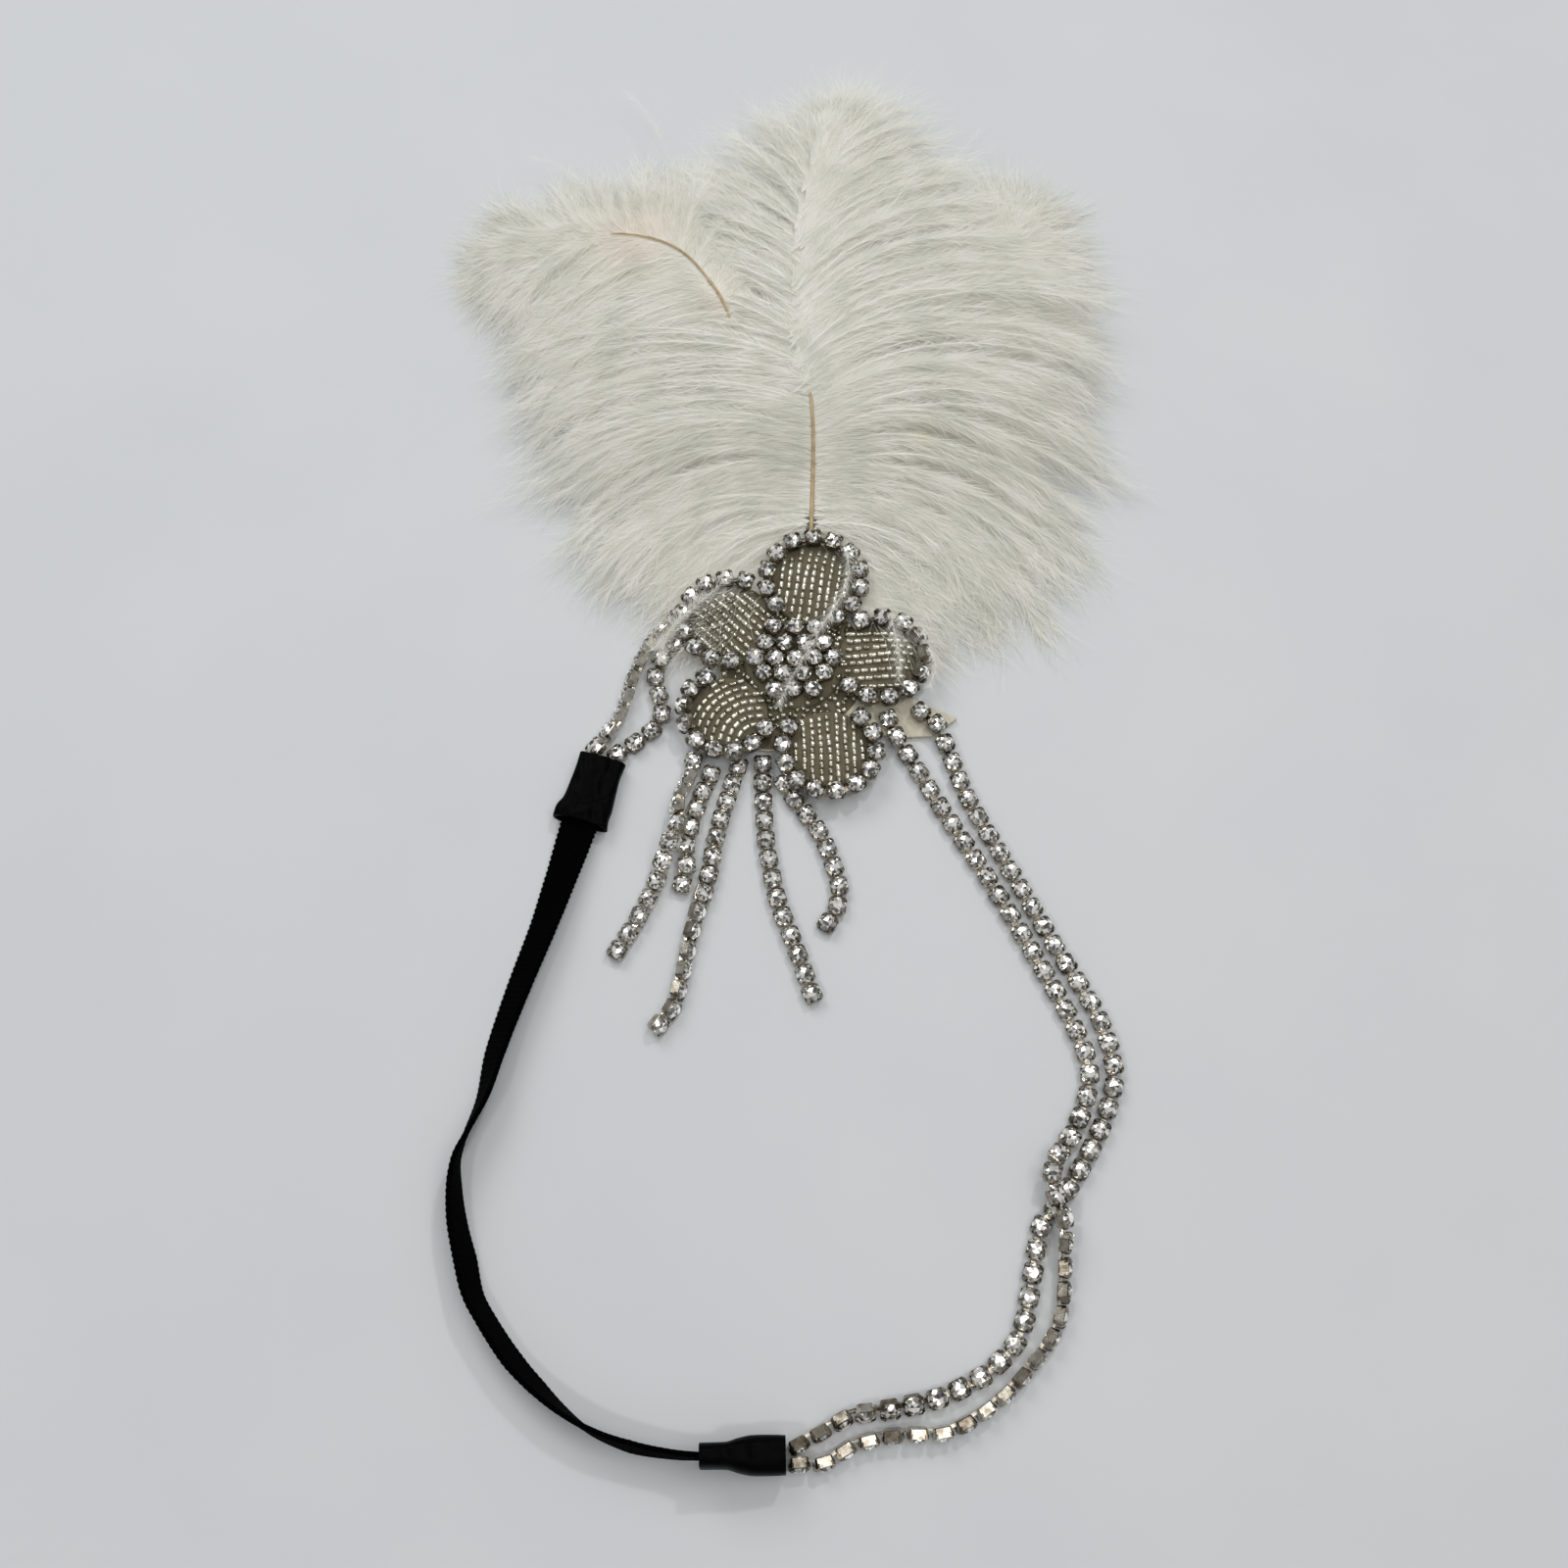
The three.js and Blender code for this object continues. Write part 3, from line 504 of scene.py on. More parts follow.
# A round brilliant crystal: table, stars, kites, the girdle's small facets and a short wall below them
def crystal_template():
    table = ring_of(1.02, 2.84, 8)
    mid = ring_of(1.56, 2.5, 8, 0.5)
    girdle = ring_of(1.92, 2.08, 16)
    culet = ring_of(1.3, 1.0, 16)
    points = np.vstack([table, mid, girdle, culet, [[0, 0, 2.74]]])
    faces = []
    for k in range(8):
        after = (k + 1) % 8
        before = (k + 7) % 8
        faces.append([48, k, after])
        faces.append([k, 8 + k, after])
        rim = 16 + 2 * k
        faces.append([k, 8 + before, rim])
        faces.append([k, rim, 8 + k])
        faces.append([8 + k, rim, rim + 1])
        faces.append([8 + k, rim + 1, 16 + (2 * k + 2) % 16])
    for k in range(16):
        after = (k + 1) % 16
        faces.append([16 + k, 32 + k, 32 + after])
        faces.append([16 + k, 32 + after, 16 + after])
    return points, np.array(faces)


CRYSTAL_POINTS, CRYSTAL_FACES = crystal_template()


# A cup: an open square box with cut corners, and four claws bent over the crystal
def cup_template():
    def square(half, cut, height):
        spots = [
            (half, -half + cut), (half, half - cut), (half - cut, half), (-half + cut, half),
            (-half, half - cut), (-half, -half + cut), (-half + cut, -half), (half - cut, -half),
        ]
        return [[x, y, height] for x, y in spots]

    walls = [
        square(1.46, 0.3, 0.0), square(1.68, 0.34, 0.2), square(1.94, 0.5, 1.94), square(1.85, 0.48, 2.03),
        square(1.7, 0.5, 0.8),
    ]
    points = [corner for ring in walls for corner in ring]
    faces = skin_faces(len(walls), 8).tolist()
    faces += [[0, 7, 6, 5], [0, 5, 4, 1], [1, 4, 3, 2]]
    for k in range(4):
        angle = pi / 4 + k * pi / 2
        first = len(points)
        for reach, height, half, thick in (
            (2.26, 1.1, 0.5, 0.2), (2.36, 1.9, 0.5, 0.24),
            (2.16, 2.42, 0.42, 0.26), (1.62, 2.72, 0.24, 0.18),
        ):
            for inward, side in ((0, -1), (0, 1), (1, 1), (1, -1)):
                r = reach - inward * thick
                w = side * half
                x, y = r * cos(angle) - w * sin(angle), r * sin(angle) + w * cos(angle)
                points.append([x, y, height - 0.1 * inward])
        faces += (skin_faces(4, 4) + first).tolist()
        faces.append([first + 12, first + 13, first + 14, first + 15])
    return np.array(points), np.array(faces)


CUP_POINTS, CUP_FACES = cup_template()
PALE = 0.95  # tone of a bright cup


def copies(faces, count, corners):
    return (faces[None] + np.arange(count)[:, None, None] * corners).reshape(-1, faces.shape[1])


# Shapes turned to their own axes and moved to their own places
def set_on(base, shapes, axes):
    return base[:, None] + np.einsum("nvk,nkd->nvd", shapes, axes)


# Set stones on their seats, each crystal turned and tilted a little, with facets of many tones that paint its
# reflections
def add_stones(work, seats, age, turn=6.0, dark_reflection_share=0.2):
    base, axes = seat_frames(seats)
    count = len(base)
    skew = np.radians(chance.normal(0, turn, count))
    lean = chance.normal(0, 0.035, (count, 2))
    cups = turned(np.repeat(CUP_POINTS[None], count, axis=0), skew * 0.6)
    tone = np.clip(age + chance.normal(0, 0.14, count), 0, 1)
    cup_faces = copies(CUP_FACES, count, len(CUP_POINTS))
    work.add(set_on(base, cups, axes), cup_faces, look=1, tone=np.repeat(tone, len(CUP_FACES)))
    stones = turned(np.repeat(CRYSTAL_POINTS[None], count, axis=0), chance.uniform(0, 2 * pi, count))
    stones[:, :, 2] += stones[:, :, 0] * lean[:, :1] + stones[:, :, 1] * lean[:, 1:]
    stone_faces = copies(CRYSTAL_FACES, count, len(CRYSTAL_POINTS))
    work.add(set_on(base, stones, axes), stone_faces, look=0, tone=facet_tones(count, dark_reflection_share).ravel())


def turned(points, angles):
    c, s = np.cos(angles)[:, None], np.sin(angles)[:, None]
    x, y = points[:, :, 0] * c - points[:, :, 1] * s, points[:, :, 0] * s + points[:, :, 1] * c
    return np.stack([x, y, points[:, :, 2]], axis=2)


# The tones of every facet, which paint its reflections: a table in bright and dark shards, a mixed crown and
# a darker girdle.
# A chosen share of the crown is painted with dark reflections
def facet_tones(count, dark_reflection_share):
    draw = chance.random((count, len(CRYSTAL_FACES)))
    high = 0.7 + 0.3 * chance.random(draw.shape)
    tones = np.where(draw < 0.38, high, 0.42 + 0.28 * chance.random(draw.shape))
    # Dark painted reflections on a chosen share of the crown
    tones = np.where(draw > 1 - dark_reflection_share, 0.1 + 0.25 * chance.random(draw.shape), tones)
    shards = np.arange(0, 48, 6)
    bright = chance.random((count, len(shards))) < 0.62
    tones[:, shards] = np.where(bright, 0.84, 0.26) + 0.14 * chance.random(bright.shape)
    tones[:, 48:] *= 0.5
    return tones


# Flat links from each cup to the next
def add_links(work, seats, age):
    base, axes = seat_frames(seats)
    low, high, half = 0.15, 0.8, 0.55
    for near, far in zip(range(len(base) - 1), range(1, len(base))):
        ends = []
        for index, reach in ((near, 1.4), (far, -1.4)):
            for side, height in ((-1, low), (1, low), (1, high), (-1, high)):
                offset = np.array([reach, side * half, height])
                ends.append(base[index] + offset @ axes[index])
        work.add(ends, skin_faces(2, 4), look=1, tone=age)


# Every chain's route from the brooch outwards: x, y, lowest height, roll in degrees
CHAINS = {
    "side_chain_1": [
        [21, -14.3, 1.5, 0], [22.6, -18.6, 1.5, 0], [25, -22.2, 0, 0], [31.7, -34.4, 0, 0],
        [41, -50.5, 0, 0], [49.8, -67.1, 0, 0], [58.1, -84.3, 0, 0], [60.6, -92.6, 0, 0],
        [60.3, -97.5, 0, 0], [57, -106, 0, 0], [54.3, -109.8, 0.9, 0], [51.6, -114.6, 3, 0],
        [51.5, -118.4, 3.4, 10], [52.8, -122.6, 3.4, 40], [53.6, -127, 2.4, 70], [53.5, -131.5, 0.6, 80],
        [53.2, -136, 0, 82], [51.4, -144.8, 0, 84], [45.3, -153, 0, 88], [38.5, -159.4, 0, 94],
        [29.1, -164.6, 0, 100], [19.7, -165.2, 0, 104], [11.2, -167, 0, 102], [5.4, -170.2, 0, 96],
        [0.6, -170.5, 0, 90],
    ],
    "side_chain_2": [
        [28.2, -12.5, 1.5, 0], [31.6, -15.6, 1.5, 0], [33.5, -19.8, 0, 0], [37.9, -32.6, 0, 0],
        [46.3, -49.3, 0, 0], [54.8, -66.1, 0, 0], [63.5, -82.9, 0, 0], [65.7, -92, 0, 0],
        [65.5, -97, 0, 0], [62.5, -105.3, 0, 0], [57.8, -113.8, 0, 0], [52.1, -121.9, 0, 0],
        [49, -125.6, 0, 0], [47.6, -131, 0, 0], [46, -139, 0, 0], [43.4, -147.2, 0, 0],
        [37, -153.7, 0, 0], [28.7, -157.8, 0, 10], [19.8, -160.2, 0, 40], [10.6, -161.8, 0, 80],
        [5.6, -164.4, 0, 88], [0.6, -167, 0, 90],
    ],
    "left_chain_1": [
        [-27, 12.2, 0, 0], [-29.9, 8.8, 0, -55], [-33, 5.1, 0, -72], [-35, 0.7, 0, -76],
        [-36.5, -3.5, 0, -76], [-39, -12.5, 0, -72], [-41.4, -17, 0, -50], [-44, -20.6, 0, -25],
    ],
    "left_chain_2": [
        [-26.9, 5, 0, 0], [-29.9, 1.6, 0, 0], [-31.2, -1.9, 0, 0], [-30.8, -6.2, 0, 0],
        [-29.6, -10.3, 0, 0], [-30.2, -14.6, 0, 0], [-33.4, -18, 0, 0], [-39.2, -22.3, 0, 0],
    ],
    "fringe_strand_1": [
        [-22.3, -23.9, 0, 0], [-23.5, -28.2, 0, -70], [-25.2, -32.5, 0.6, -80], [-25.6, -36.6, 2.4, -72],
        [-25.2, -40.4, 3.4, -25], [-26.9, -44.4, 3.3, 0], [-28.4, -48.3, 1.4, 0], [-29.7, -52.2, 0, 0],
        [-33.3, -60.3, 0, 0], [-37.6, -67.9, 0, 0],
    ],
    "fringe_strand_2": [
        [-18.4, -27.2, 0, 0], [-20.9, -33.6, 0, 0], [-22.2, -38, 0, 0], [-23.2, -42, 0, 20],
        [-23.5, -45.6, 0, 50], [-23.4, -49.3, 0, 10], [-24.2, -53, 0, 0],
    ],
    "fringe_strand_3": [
        [-12.3, -25.2, 0, 0], [-14.5, -32.4, 0, 0], [-16.8, -41, 0, 0], [-18.3, -49.7, 0, 0],
        [-19.2, -54, 0, 15], [-20.4, -58.2, 0, 60], [-22.4, -67, 0, 76], [-24.1, -75.9, 0, 80],
        [-25.5, -80.6, 0, 70], [-28.3, -84.3, 0, 55],
    ],
    "fringe_strand_4": [
        [-7, -24.6, 0, 0], [-7, -29, 0, 0], [-6.7, -35.5, 0, 0], [-6.1, -43.5, 0, 0],
        [-3.7, -56.3, 0, 0], [0, -66.8, 0, 0], [3.6, -77.4, 0, 0],
    ],
    "fringe_strand_5": [
        [-2.3, -29.2, 0, 0], [-0.7, -32.2, 0, 0], [1.5, -35.2, 0, 0], [5.6, -41.3, 0, 0], [8.6, -49.3, 0, 0],
        [9.6, -54.4, 0, 0], [8.9, -58.6, 0, 0], [7, -61.8, 0, 0],
    ],
}
CHAIN_AGE = {"left_chain_1": PALE, "fringe_strand_1": 0.8, "side_chain_1": 0.5, "fringe_strand_3": 0.6}


def make_chains():
    for name, route in CHAINS.items():
        seats = seats_on(route, PITCH["fringe"] if name.startswith("fringe") else PITCH["side"])
        age = CHAIN_AGE.get(name, 0.42)
        work = Work()
        add_stones(work, seats, age, dark_reflection_share=0.14)
        add_links(work, seats, age)
        work.piece(name + "_stones", [CRYSTAL, PEWTER], [name])


# The brooch: petals round the middle, as in the part
PETALS = [
    {"name": "top", "bearing": 77.5, "reach": 1.04, "radius": 1.06, "rim": (-140, 140), "lean": (0, 60, 8)},
    {"name": "right", "bearing": 0.9, "reach": 0.97, "radius": 0.98, "rim": (-136, 113), "lean": (0, 62, 74)},
    {"name": "bottom", "bearing": -70.9, "reach": 1.175, "radius": 1, "rim": (-140, 118),
     "lean": (0, 60, 12)},
    {"name": "low_left", "bearing": -138.8, "reach": 1, "radius": 0.94, "rim": (-102, 113),
     "lean": (-34, 34, 66)},
    {"name": "up_left", "bearing": 146, "reach": 0.88, "radius": 1.03, "rim": (-75, 126),
     "lean": (0, 60, 10)},
]
PETAL = {"reach": 20, "radius": 10.3, "edge": 1.4, "dome": 1.2, "inset": 0.5}
HUB = {"radius": 11.3, "height": 2}
PETAL_FLOOR = 1.2 + GAP
RIM_FLOOR = PETAL_FLOOR + PETAL["edge"] + GAP
BEAD_SIZE = {"length": 1.62, "radius": 0.5, "step": 1.92, "rows": 1.86}


class Petal:
    def __init__(self, row):
        self.name = row["name"]
        self.bearing = row["bearing"]
        self.rim = row["rim"]
        self.lean = row["lean"]
        reach = row["reach"] * PETAL["reach"]
        self.x = reach * cos(radians(self.bearing))
        self.y = reach * sin(radians(self.bearing))
        self.round = row["radius"] * PETAL["radius"]
        self.outer = self.round - PETAL["inset"]
        self.inner = self.round - CUP["width"] / 2 - GAP

    def surface(self, x, y):
        off = np.clip(np.hypot(x - self.x, y - self.y) / self.inner, 0, 1)
        return PETAL_FLOOR + PETAL["edge"] + PETAL["dome"] * (1 - off ** 2.6)


def add_net_dome(work, petal, sides=64, rings=20):
    edge = [petal.outer - 0.25, petal.outer, petal.outer]
    shares = np.concatenate([np.linspace(0, petal.inner, rings), edge])
    drops = np.concatenate([np.zeros(rings + 1), [0.25, PETAL["edge"]]])
    angles = np.arange(sides) * 2 * pi / sides
    r, a = np.meshgrid(shares, angles, indexing="ij")
    x, y = petal.x + r * np.cos(a), petal.y + r * np.sin(a)
    puckers = 0.05 * np.sin(9 * a + 3 * np.sin(r)) * (r / petal.outer)
    z = petal.surface(x, y) + puckers * (r < petal.inner) - drops[:, None]
    work.add(np.stack([x, y, z], axis=2), skin_faces(len(shares), sides), look=0, smooth=True)


# One bead: a short tube with rounded ends, lying along its first axis
def bead_template(sides=8):
    half, radius = BEAD_SIZE["length"] / 2, BEAD_SIZE["radius"]
    lip, flank = half - 0.09, half - 0.28
    profile = [(-half, 0.5), (-lip, 0.86), (-flank, 1), (flank, 1), (lip, 0.86), (half, 0.5)]
    angles = np.arange(sides) * 2 * pi / sides
    points = [[x, r * radius * cos(a), r * radius * sin(a)] for x, r in profile for a in angles]
    points += [[-half + 0.1, 0, 0], [half - 0.1, 0, 0]]
    faces = skin_faces(len(profile), sides)
    first, last = len(profile) * sides, len(profile) * sides + 1
    ends = [[first, (k + 1) % sides, k] for k in range(sides)]
    ends += [[last, first - sides + k, first - sides + (k + 1) % sides] for k in range(sides)]
    return np.array(points), faces, np.array(ends)


BEAD_POINTS, BEAD_FACES, BEAD_ENDS = bead_template()


# Beads with these corner points, each with its own tone and with dark ends, painted shade in the bead holes
def add_bead_skins(work, points, tone, look):
    corners = len(BEAD_POINTS)
    skins = copies(BEAD_FACES, len(points), corners)
    work.add(points, skins, look=look, tone=np.repeat(tone, len(BEAD_FACES)), smooth=True)
    # The inset end caps get a near-black tone: painted shade inside the holes
    work.add(points, copies(BEAD_ENDS, len(points), corners), look=look, tone=0.05)


def add_beads(work, petal, x, y, heading, stretch):
    x, y, heading, stretch = (np.asarray(values, float) for values in (x, y, heading, stretch))
    off = np.hypot(x - petal.x, y - petal.y)
    away = (np.degrees(np.arctan2(y - petal.y, x - petal.x)) - petal.bearing + 180) % 360 - 180
    rimless = (away < petal.rim[0] - 4) | (away > petal.rim[1] + 4)
    keep = off < np.where(rimless, petal.outer - 0.5, petal.inner)
    keep &= np.hypot(x, y) > HUB["radius"] - 1.0
    x, y, heading, stretch = x[keep], y[keep], heading[keep], stretch[keep]
    reach = BEAD_SIZE["length"] / 2
    ahead = petal.surface(x + reach * np.cos(heading), y + reach * np.sin(heading))
    behind = petal.surface(x - reach * np.cos(heading), y - reach * np.sin(heading))
    along = unit(np.stack([np.cos(heading), np.sin(heading), (ahead - behind) / (2 * reach)], axis=1))
    side = np.stack([-np.sin(heading), np.cos(heading), np.zeros(len(x))], axis=1)
    axes = np.stack([along, side, np.cross(along, side)], axis=1)
    place = np.stack([x, y, (ahead + behind) / 2 + BEAD_SIZE["radius"] * 0.75], axis=1)
    shaped = np.repeat(BEAD_POINTS[None], len(x), axis=0)
    shaped[:, :, 0] *= stretch[:, None]
    tone = np.clip(chance.normal(0.75, 0.2, len(x)), 0.1, 1)
    add_bead_skins(work, set_on(place, shaped, axes), tone, look=1)


# Straight rows of beads at one heading, side by side over a petal
def straight_rows(petal, heading, rows, stretch=1.0, wander=0.0):
    bearing = radians(heading)
    found = []
    for row in range(rows):
        off = (row - (rows - 1) / 2) * BEAD_SIZE["rows"]
        start = row % 2 * 0.9 + chance.uniform(-0.5, 0.5)
        step = BEAD_SIZE["step"] * stretch * chance.uniform(0.94, 1.03)
        sway, phase = chance.uniform(0.05, 0.22), chance.uniform(0, 2 * pi)
        for k in range(-7, 8):
            run = start + k * step + chance.normal(0, 0.1)
            side = off + wander * sin(run / 4.5) + sway * sin(run / 3.1 + phase) + chance.normal(0, 0.04)
            found.append([
                petal.x + run * cos(bearing) - side * sin(bearing),
                petal.y + run * sin(bearing) + side * cos(bearing),
                bearing + wander / 4.5 * cos(run / 4.5) + chance.normal(0, 0.05),
                stretch * (1 + chance.normal(0, 0.06)),
            ])
    return np.array(found).T


# Rows of beads bent round one middle, one inside the next
def bent_rows(middle, radii):
    found = []
    for radius in radii:
        count = int(2 * pi * radius / BEAD_SIZE["step"])
        start = chance.uniform(0, 1)
        for k in range(count):
            angle = (k + start) / count * 2 * pi
            found.append([
                middle[0] + radius * cos(angle), middle[1] + radius * sin(angle),
                angle + pi / 2 + chance.normal(0, 0.05), 1 + chance.normal(0, 0.06),
            ])
    return np.array(found).T


def bead_rows(petal):
    if petal.name == "top":
        return straight_rows(petal, 79, 9, wander=0.25)
    if petal.name == "right":
        return straight_rows(petal, -2, 8, wander=0.45)
    if petal.name == "bottom":
        return straight_rows(petal, -88, 9, stretch=0.84)
    if petal.name == "up_left":
        return straight_rows(petal, 140, 9, wander=-0.35)
    return bent_rows((-7.0, -21.5), np.arange(2.2, 25, BEAD_SIZE["rows"]))


# A rim's string of stones stops short of the middle and of the rims that are there already
def rim_seats(petal, placed):
    start, stop = petal.rim
    middle, span, most = petal.lean
    steps = round(radians(stop - start) * petal.round / PITCH["rim"])
    away = np.linspace(start, stop, steps + 1)
    angle = np.radians(petal.bearing + away)
    x = petal.x + petal.round * np.cos(angle)
    y = petal.y + petal.round * np.sin(angle)
    clear = np.hypot(x, y) > HUB["radius"] + CUP["width"] / 2 + GAP
    for u, v in placed:
        clear &= np.hypot(x - u, y - v) > CUP["width"] + GAP / 2
    kept = np.flatnonzero(clear)
    kept = slice(kept[0], kept[-1] + 1)
    off = np.minimum(1, np.abs(away - middle) / span)
    roll = -np.radians(most * np.cos(off * pi / 2))
    along = np.stack([-np.sin(angle), np.cos(angle), np.zeros(len(angle))], axis=1)
    placed.extend(zip(x[kept], y[kept]))
    return Seats(x[kept], y[kept], np.full(len(x), RIM_FLOOR)[kept], along[kept], roll[kept])


def make_petals():
    placed = []
    petals = [Petal(row) for row in PETALS]
    make_seed_beads(petals)
    for petal in petals:
        net = Work()
        add_net_dome(net, petal)
        add_beads(net, petal, *bead_rows(petal))
        net.piece(f"petal_{petal.name}_net", [NET, BEAD], [f"petal_{petal.name}"])
        seats = rim_seats(petal, placed)
        rim = Work()
        add_stones(rim, seats, 0.3, turn=9)
        add_links(rim, seats, 0.2)
        rim.piece(f"rim_{petal.name}_stones", [CRYSTAL, PEWTER], [f"rim_{petal.name}"])


# A flat round of net with a rounded edge
def add_net_round(work, x, y, profile, look=0, sides=64):
    rings = np.concatenate([ring_of(radius, height, sides) for radius, height in profile]) + [x, y, 0]
    work.add(rings, skin_faces(len(profile), sides), look=look, smooth=True)


# The net that covers the felt between the petals
def make_net_ground():
    top = PETAL_FLOOR - 0.12
    reach, bearing = 16.2, radians(-111)
    ground = Work()
    for x, y, radius in ((0, 0, 16.7), (reach * cos(bearing), reach * sin(bearing), 5.9)):
        profile = [(0.01, top), (radius * 0.5, top + 0.05), (radius - 0.3, top), (radius, top - 0.2)]
        add_net_round(ground, x, y, profile)
    ground.piece("net_ground", [NET])


# Seed beads fill the net between the petals and the middle. Every try lowers how many are wanted a little,
# so the search ends when the net is full
def make_seed_beads(petals, count=150, each_try=0.02):
    work = Work()
    spots = []
    while len(spots) < count:
        reach, angle = chance.uniform(10.6, 16.2), chance.uniform(0, 2 * pi)
        x, y = reach * cos(angle), reach * sin(angle)
        in_petal = any(np.hypot(x - p.x, y - p.y) < p.inner + 0.1 for p in petals)
        crowded = any(np.hypot(x - u, y - v) < 1.05 for u, v in spots)
        if not in_petal and not crowded:
            spots.append((x, y))
        count -= each_try
    x, y = np.array(spots).T
    low = np.where(np.hypot(x, y) < HUB["radius"], PETAL_FLOOR + 1.0, PETAL_FLOOR - 0.1)
    size = BEAD_POINTS * [0.62, 1, 1]
    heading = chance.uniform(0, pi, len(x))
    axes = np.stack([
        np.stack([np.cos(heading), np.sin(heading), 0 * heading], axis=1),
        np.stack([-np.sin(heading), np.cos(heading), 0 * heading], axis=1),
        np.tile([0.0, 0.0, 1.0], (len(x), 1)),
    ], axis=1)
    place = np.stack([x, y, low + BEAD_SIZE["radius"]], axis=1)
    points = place[:, None] + np.einsum("vk,nkd->nvd", size, axes)
    add_bead_skins(work, points, np.clip(chance.normal(0.55, 0.25, len(x)), 0.05, 1), look=0)
    work.piece("seed_beads", [BEAD])


# The middle: nineteen stones on a low net covered base
def make_cluster():
    work = Work()
    top = PETAL_FLOOR + HUB["height"]
    profile = [
        (0.01, top), (4, top), (7, top - 0.02), (8.6, top - 0.12), (9.8, top - 0.35), (10.7, top - 0.75),
        (HUB["radius"], top - 1.4), (HUB["radius"], PETAL_FLOOR),
    ]
    add_net_round(work, 0, 0, profile, look=2)
    x, y, along = [], [], []
    for row in range(-2, 3):
        across = 5 - abs(row)
        for k in range(across):
            x.append((k - (across - 1) / 2) * PITCH["centre"] + chance.uniform(-0.3, 0.3))
            y.append(row * PITCH["centre"] * 0.75 ** 0.5 + chance.uniform(-0.3, 0.3))
            along.append([cos(row + k), sin(row + k), 0])
    low = np.full(len(x), top - 0.2) + chance.uniform(-0.15, 0.1, len(x))
    roll = np.radians(chance.normal(0, 6, len(x)))
    add_stones(work, Seats(x, y, low, along, roll), 0.35, turn=20)
    work.piece("centre_cluster_stones", [CRYSTAL, PEWTER, NET], ["centre_cluster"])


# The plumes lie in three layers under one dome
LOFT = {"crown": 18, "edge": 3.6, "radius": 92, "middle": (5, 88), "ramp": (33, 66), "between": 0.9}
LAYERS = 3
BARE = 0.055  # share of a quill, from its foot, that has no barbs
PLUMES = [
    {
        "name": "plume_back", "layer": 0, "foot": (10.2, 30.2), "length": 106, "reach": 66,
        "quill": [[0, 0], [0.07, 0.17], [0.17, 0.42], [0.29, 0.67], [0.42, 0.85]],
        "barbs": [
            [0, 60, 130, 0.62, 60, 148, 0.8],
            [0.25, 58, 112, 0.72, 60, 118, 0.85],
            [0.55, 50, 90, 0.72, 56, 104, 0.67],
            [0.8, 36, 62, 0.46, 44, 82, 0.44],
            [0.92, 24, 44, 0.3, 30, 62, 0.32],
            [1, 4, 16, 0.14, 4, 22, 0.18],
        ],
    },
    {
        "name": "plume_left", "layer": 1, "foot": (-2.2, 29.5), "length": 117, "reach": 61, "climb": 5.5,
        "quill": [
            [0, 0], [-0.03, 0.22], [-0.085, 0.415], [-0.15, 0.555], [-0.225, 0.65], [-0.34, 0.7],
            [-0.47, 0.715], [-0.55, 0.71],
        ],
        "barbs": [
            [0, 70, 152, 0.72, 50, 90, 0.4],
            [0.25, 64, 122, 0.86, 50, 84, 0.5],
            [0.5, 54, 96, 0.76, 46, 68, 0.46],
            [0.64, 42, 78, 0.6, 44, 68, 0.4],
            [0.76, 30, 60, 0.42, 40, 68, 0.33],
            [0.9, 18, 42, 0.27, 28, 54, 0.28],
            [1, 4, 16, 0.14, 6, 24, 0.14],
        ],
    },
    {
        "name": "plume_front", "layer": 2, "foot": (4, 31.2), "length": 116, "reach": 78, "dip": 0.6,
        "quill": [[0, 0], [0.004, 0.2], [-0.008, 0.38], [0.006, 0.68], [0.06, 0.96]],
        "barbs": [
            [0, 74, 156, 0.73, 74, 150, 0.76],
            [0.15, 66, 126, 0.85, 62, 124, 0.89],
            [0.38, 54, 102, 0.89, 50, 104, 0.92],
            [0.52, 44, 84, 0.78, 40, 88, 0.83],
            [0.68, 32, 64, 0.58, 30, 70, 0.69],
            [0.85, 18, 44, 0.42, 20, 50, 0.46],
            [1, 1, 10, 0.2, 1, 14, 0.2],
        ],
    },
]
SIDES = ((1, "left"), (-1, "right"))
BARBS = 200  # on each side of a quill
BARB_WIDTH = 0.4
BARBULES = 68000  # on each side of a quill
BARBULE_SIZE = {"length": 6.6, "half": 0.068}
FRINGE = 18000  # long loose hairs on each side of a quill
HAIR_SIZE = {"short": 4.5, "more": 19, "half": 0.042}
LOWEST_BARB = 0.15
LOWEST_TIP = 0.1
STOPS = np.linspace(0, 1, 17)
# Where along a quill its barbs stop covering it and start again, as shares of its length
SHOWN = {"plume_front": (0.0, 0.33), "plume_left": (0.38, 0.72), "plume_back": (0.0, 0.05)}


def layer_heights(layer, x, y):
    off = np.hypot(x - LOFT["middle"][0], y - LOFT["middle"][1]) / LOFT["radius"]
    ramp = 0.15 + 0.85 * eased(y, *LOFT["ramp"])
    dome = LOFT["edge"] + (LOFT["crown"] - LOFT["edge"]) * np.maximum(0, 1 - off * off) * ramp
    thick = (dome - (LAYERS - 1) * LOFT["between"]) / LAYERS
    low = layer * (thick + LOFT["between"])
    return low, low + thick


def quill_route(plume):
    spots = [[plume["foot"][0] + x * plume["length"], plume["foot"][1] + y * plume["length"], 0]
             for x, y in plume["quill"]]
    return Route(spots)


# How much a plume climbs over the one in front of it, from a third of its quill on
def climb(plume, share):
    return plume.get("climb", 0) * eased(share, 0.26, 0.4) * (1 - 0.6 * eased(share, 0.6, 1))


# Arcs in plan, each from its own spot and turning from one bearing to another along its length
def arcs(x, y, start, end, length):
    bend = end - start
    angle = start[:, None] + bend[:, None] * STOPS
    reach = (length / bend)[:, None]
    across = x[:, None] + reach * (np.sin(angle) - np.sin(start)[:, None])
    return across, y[:, None] - reach * (np.cos(angle) - np.cos(start)[:, None])


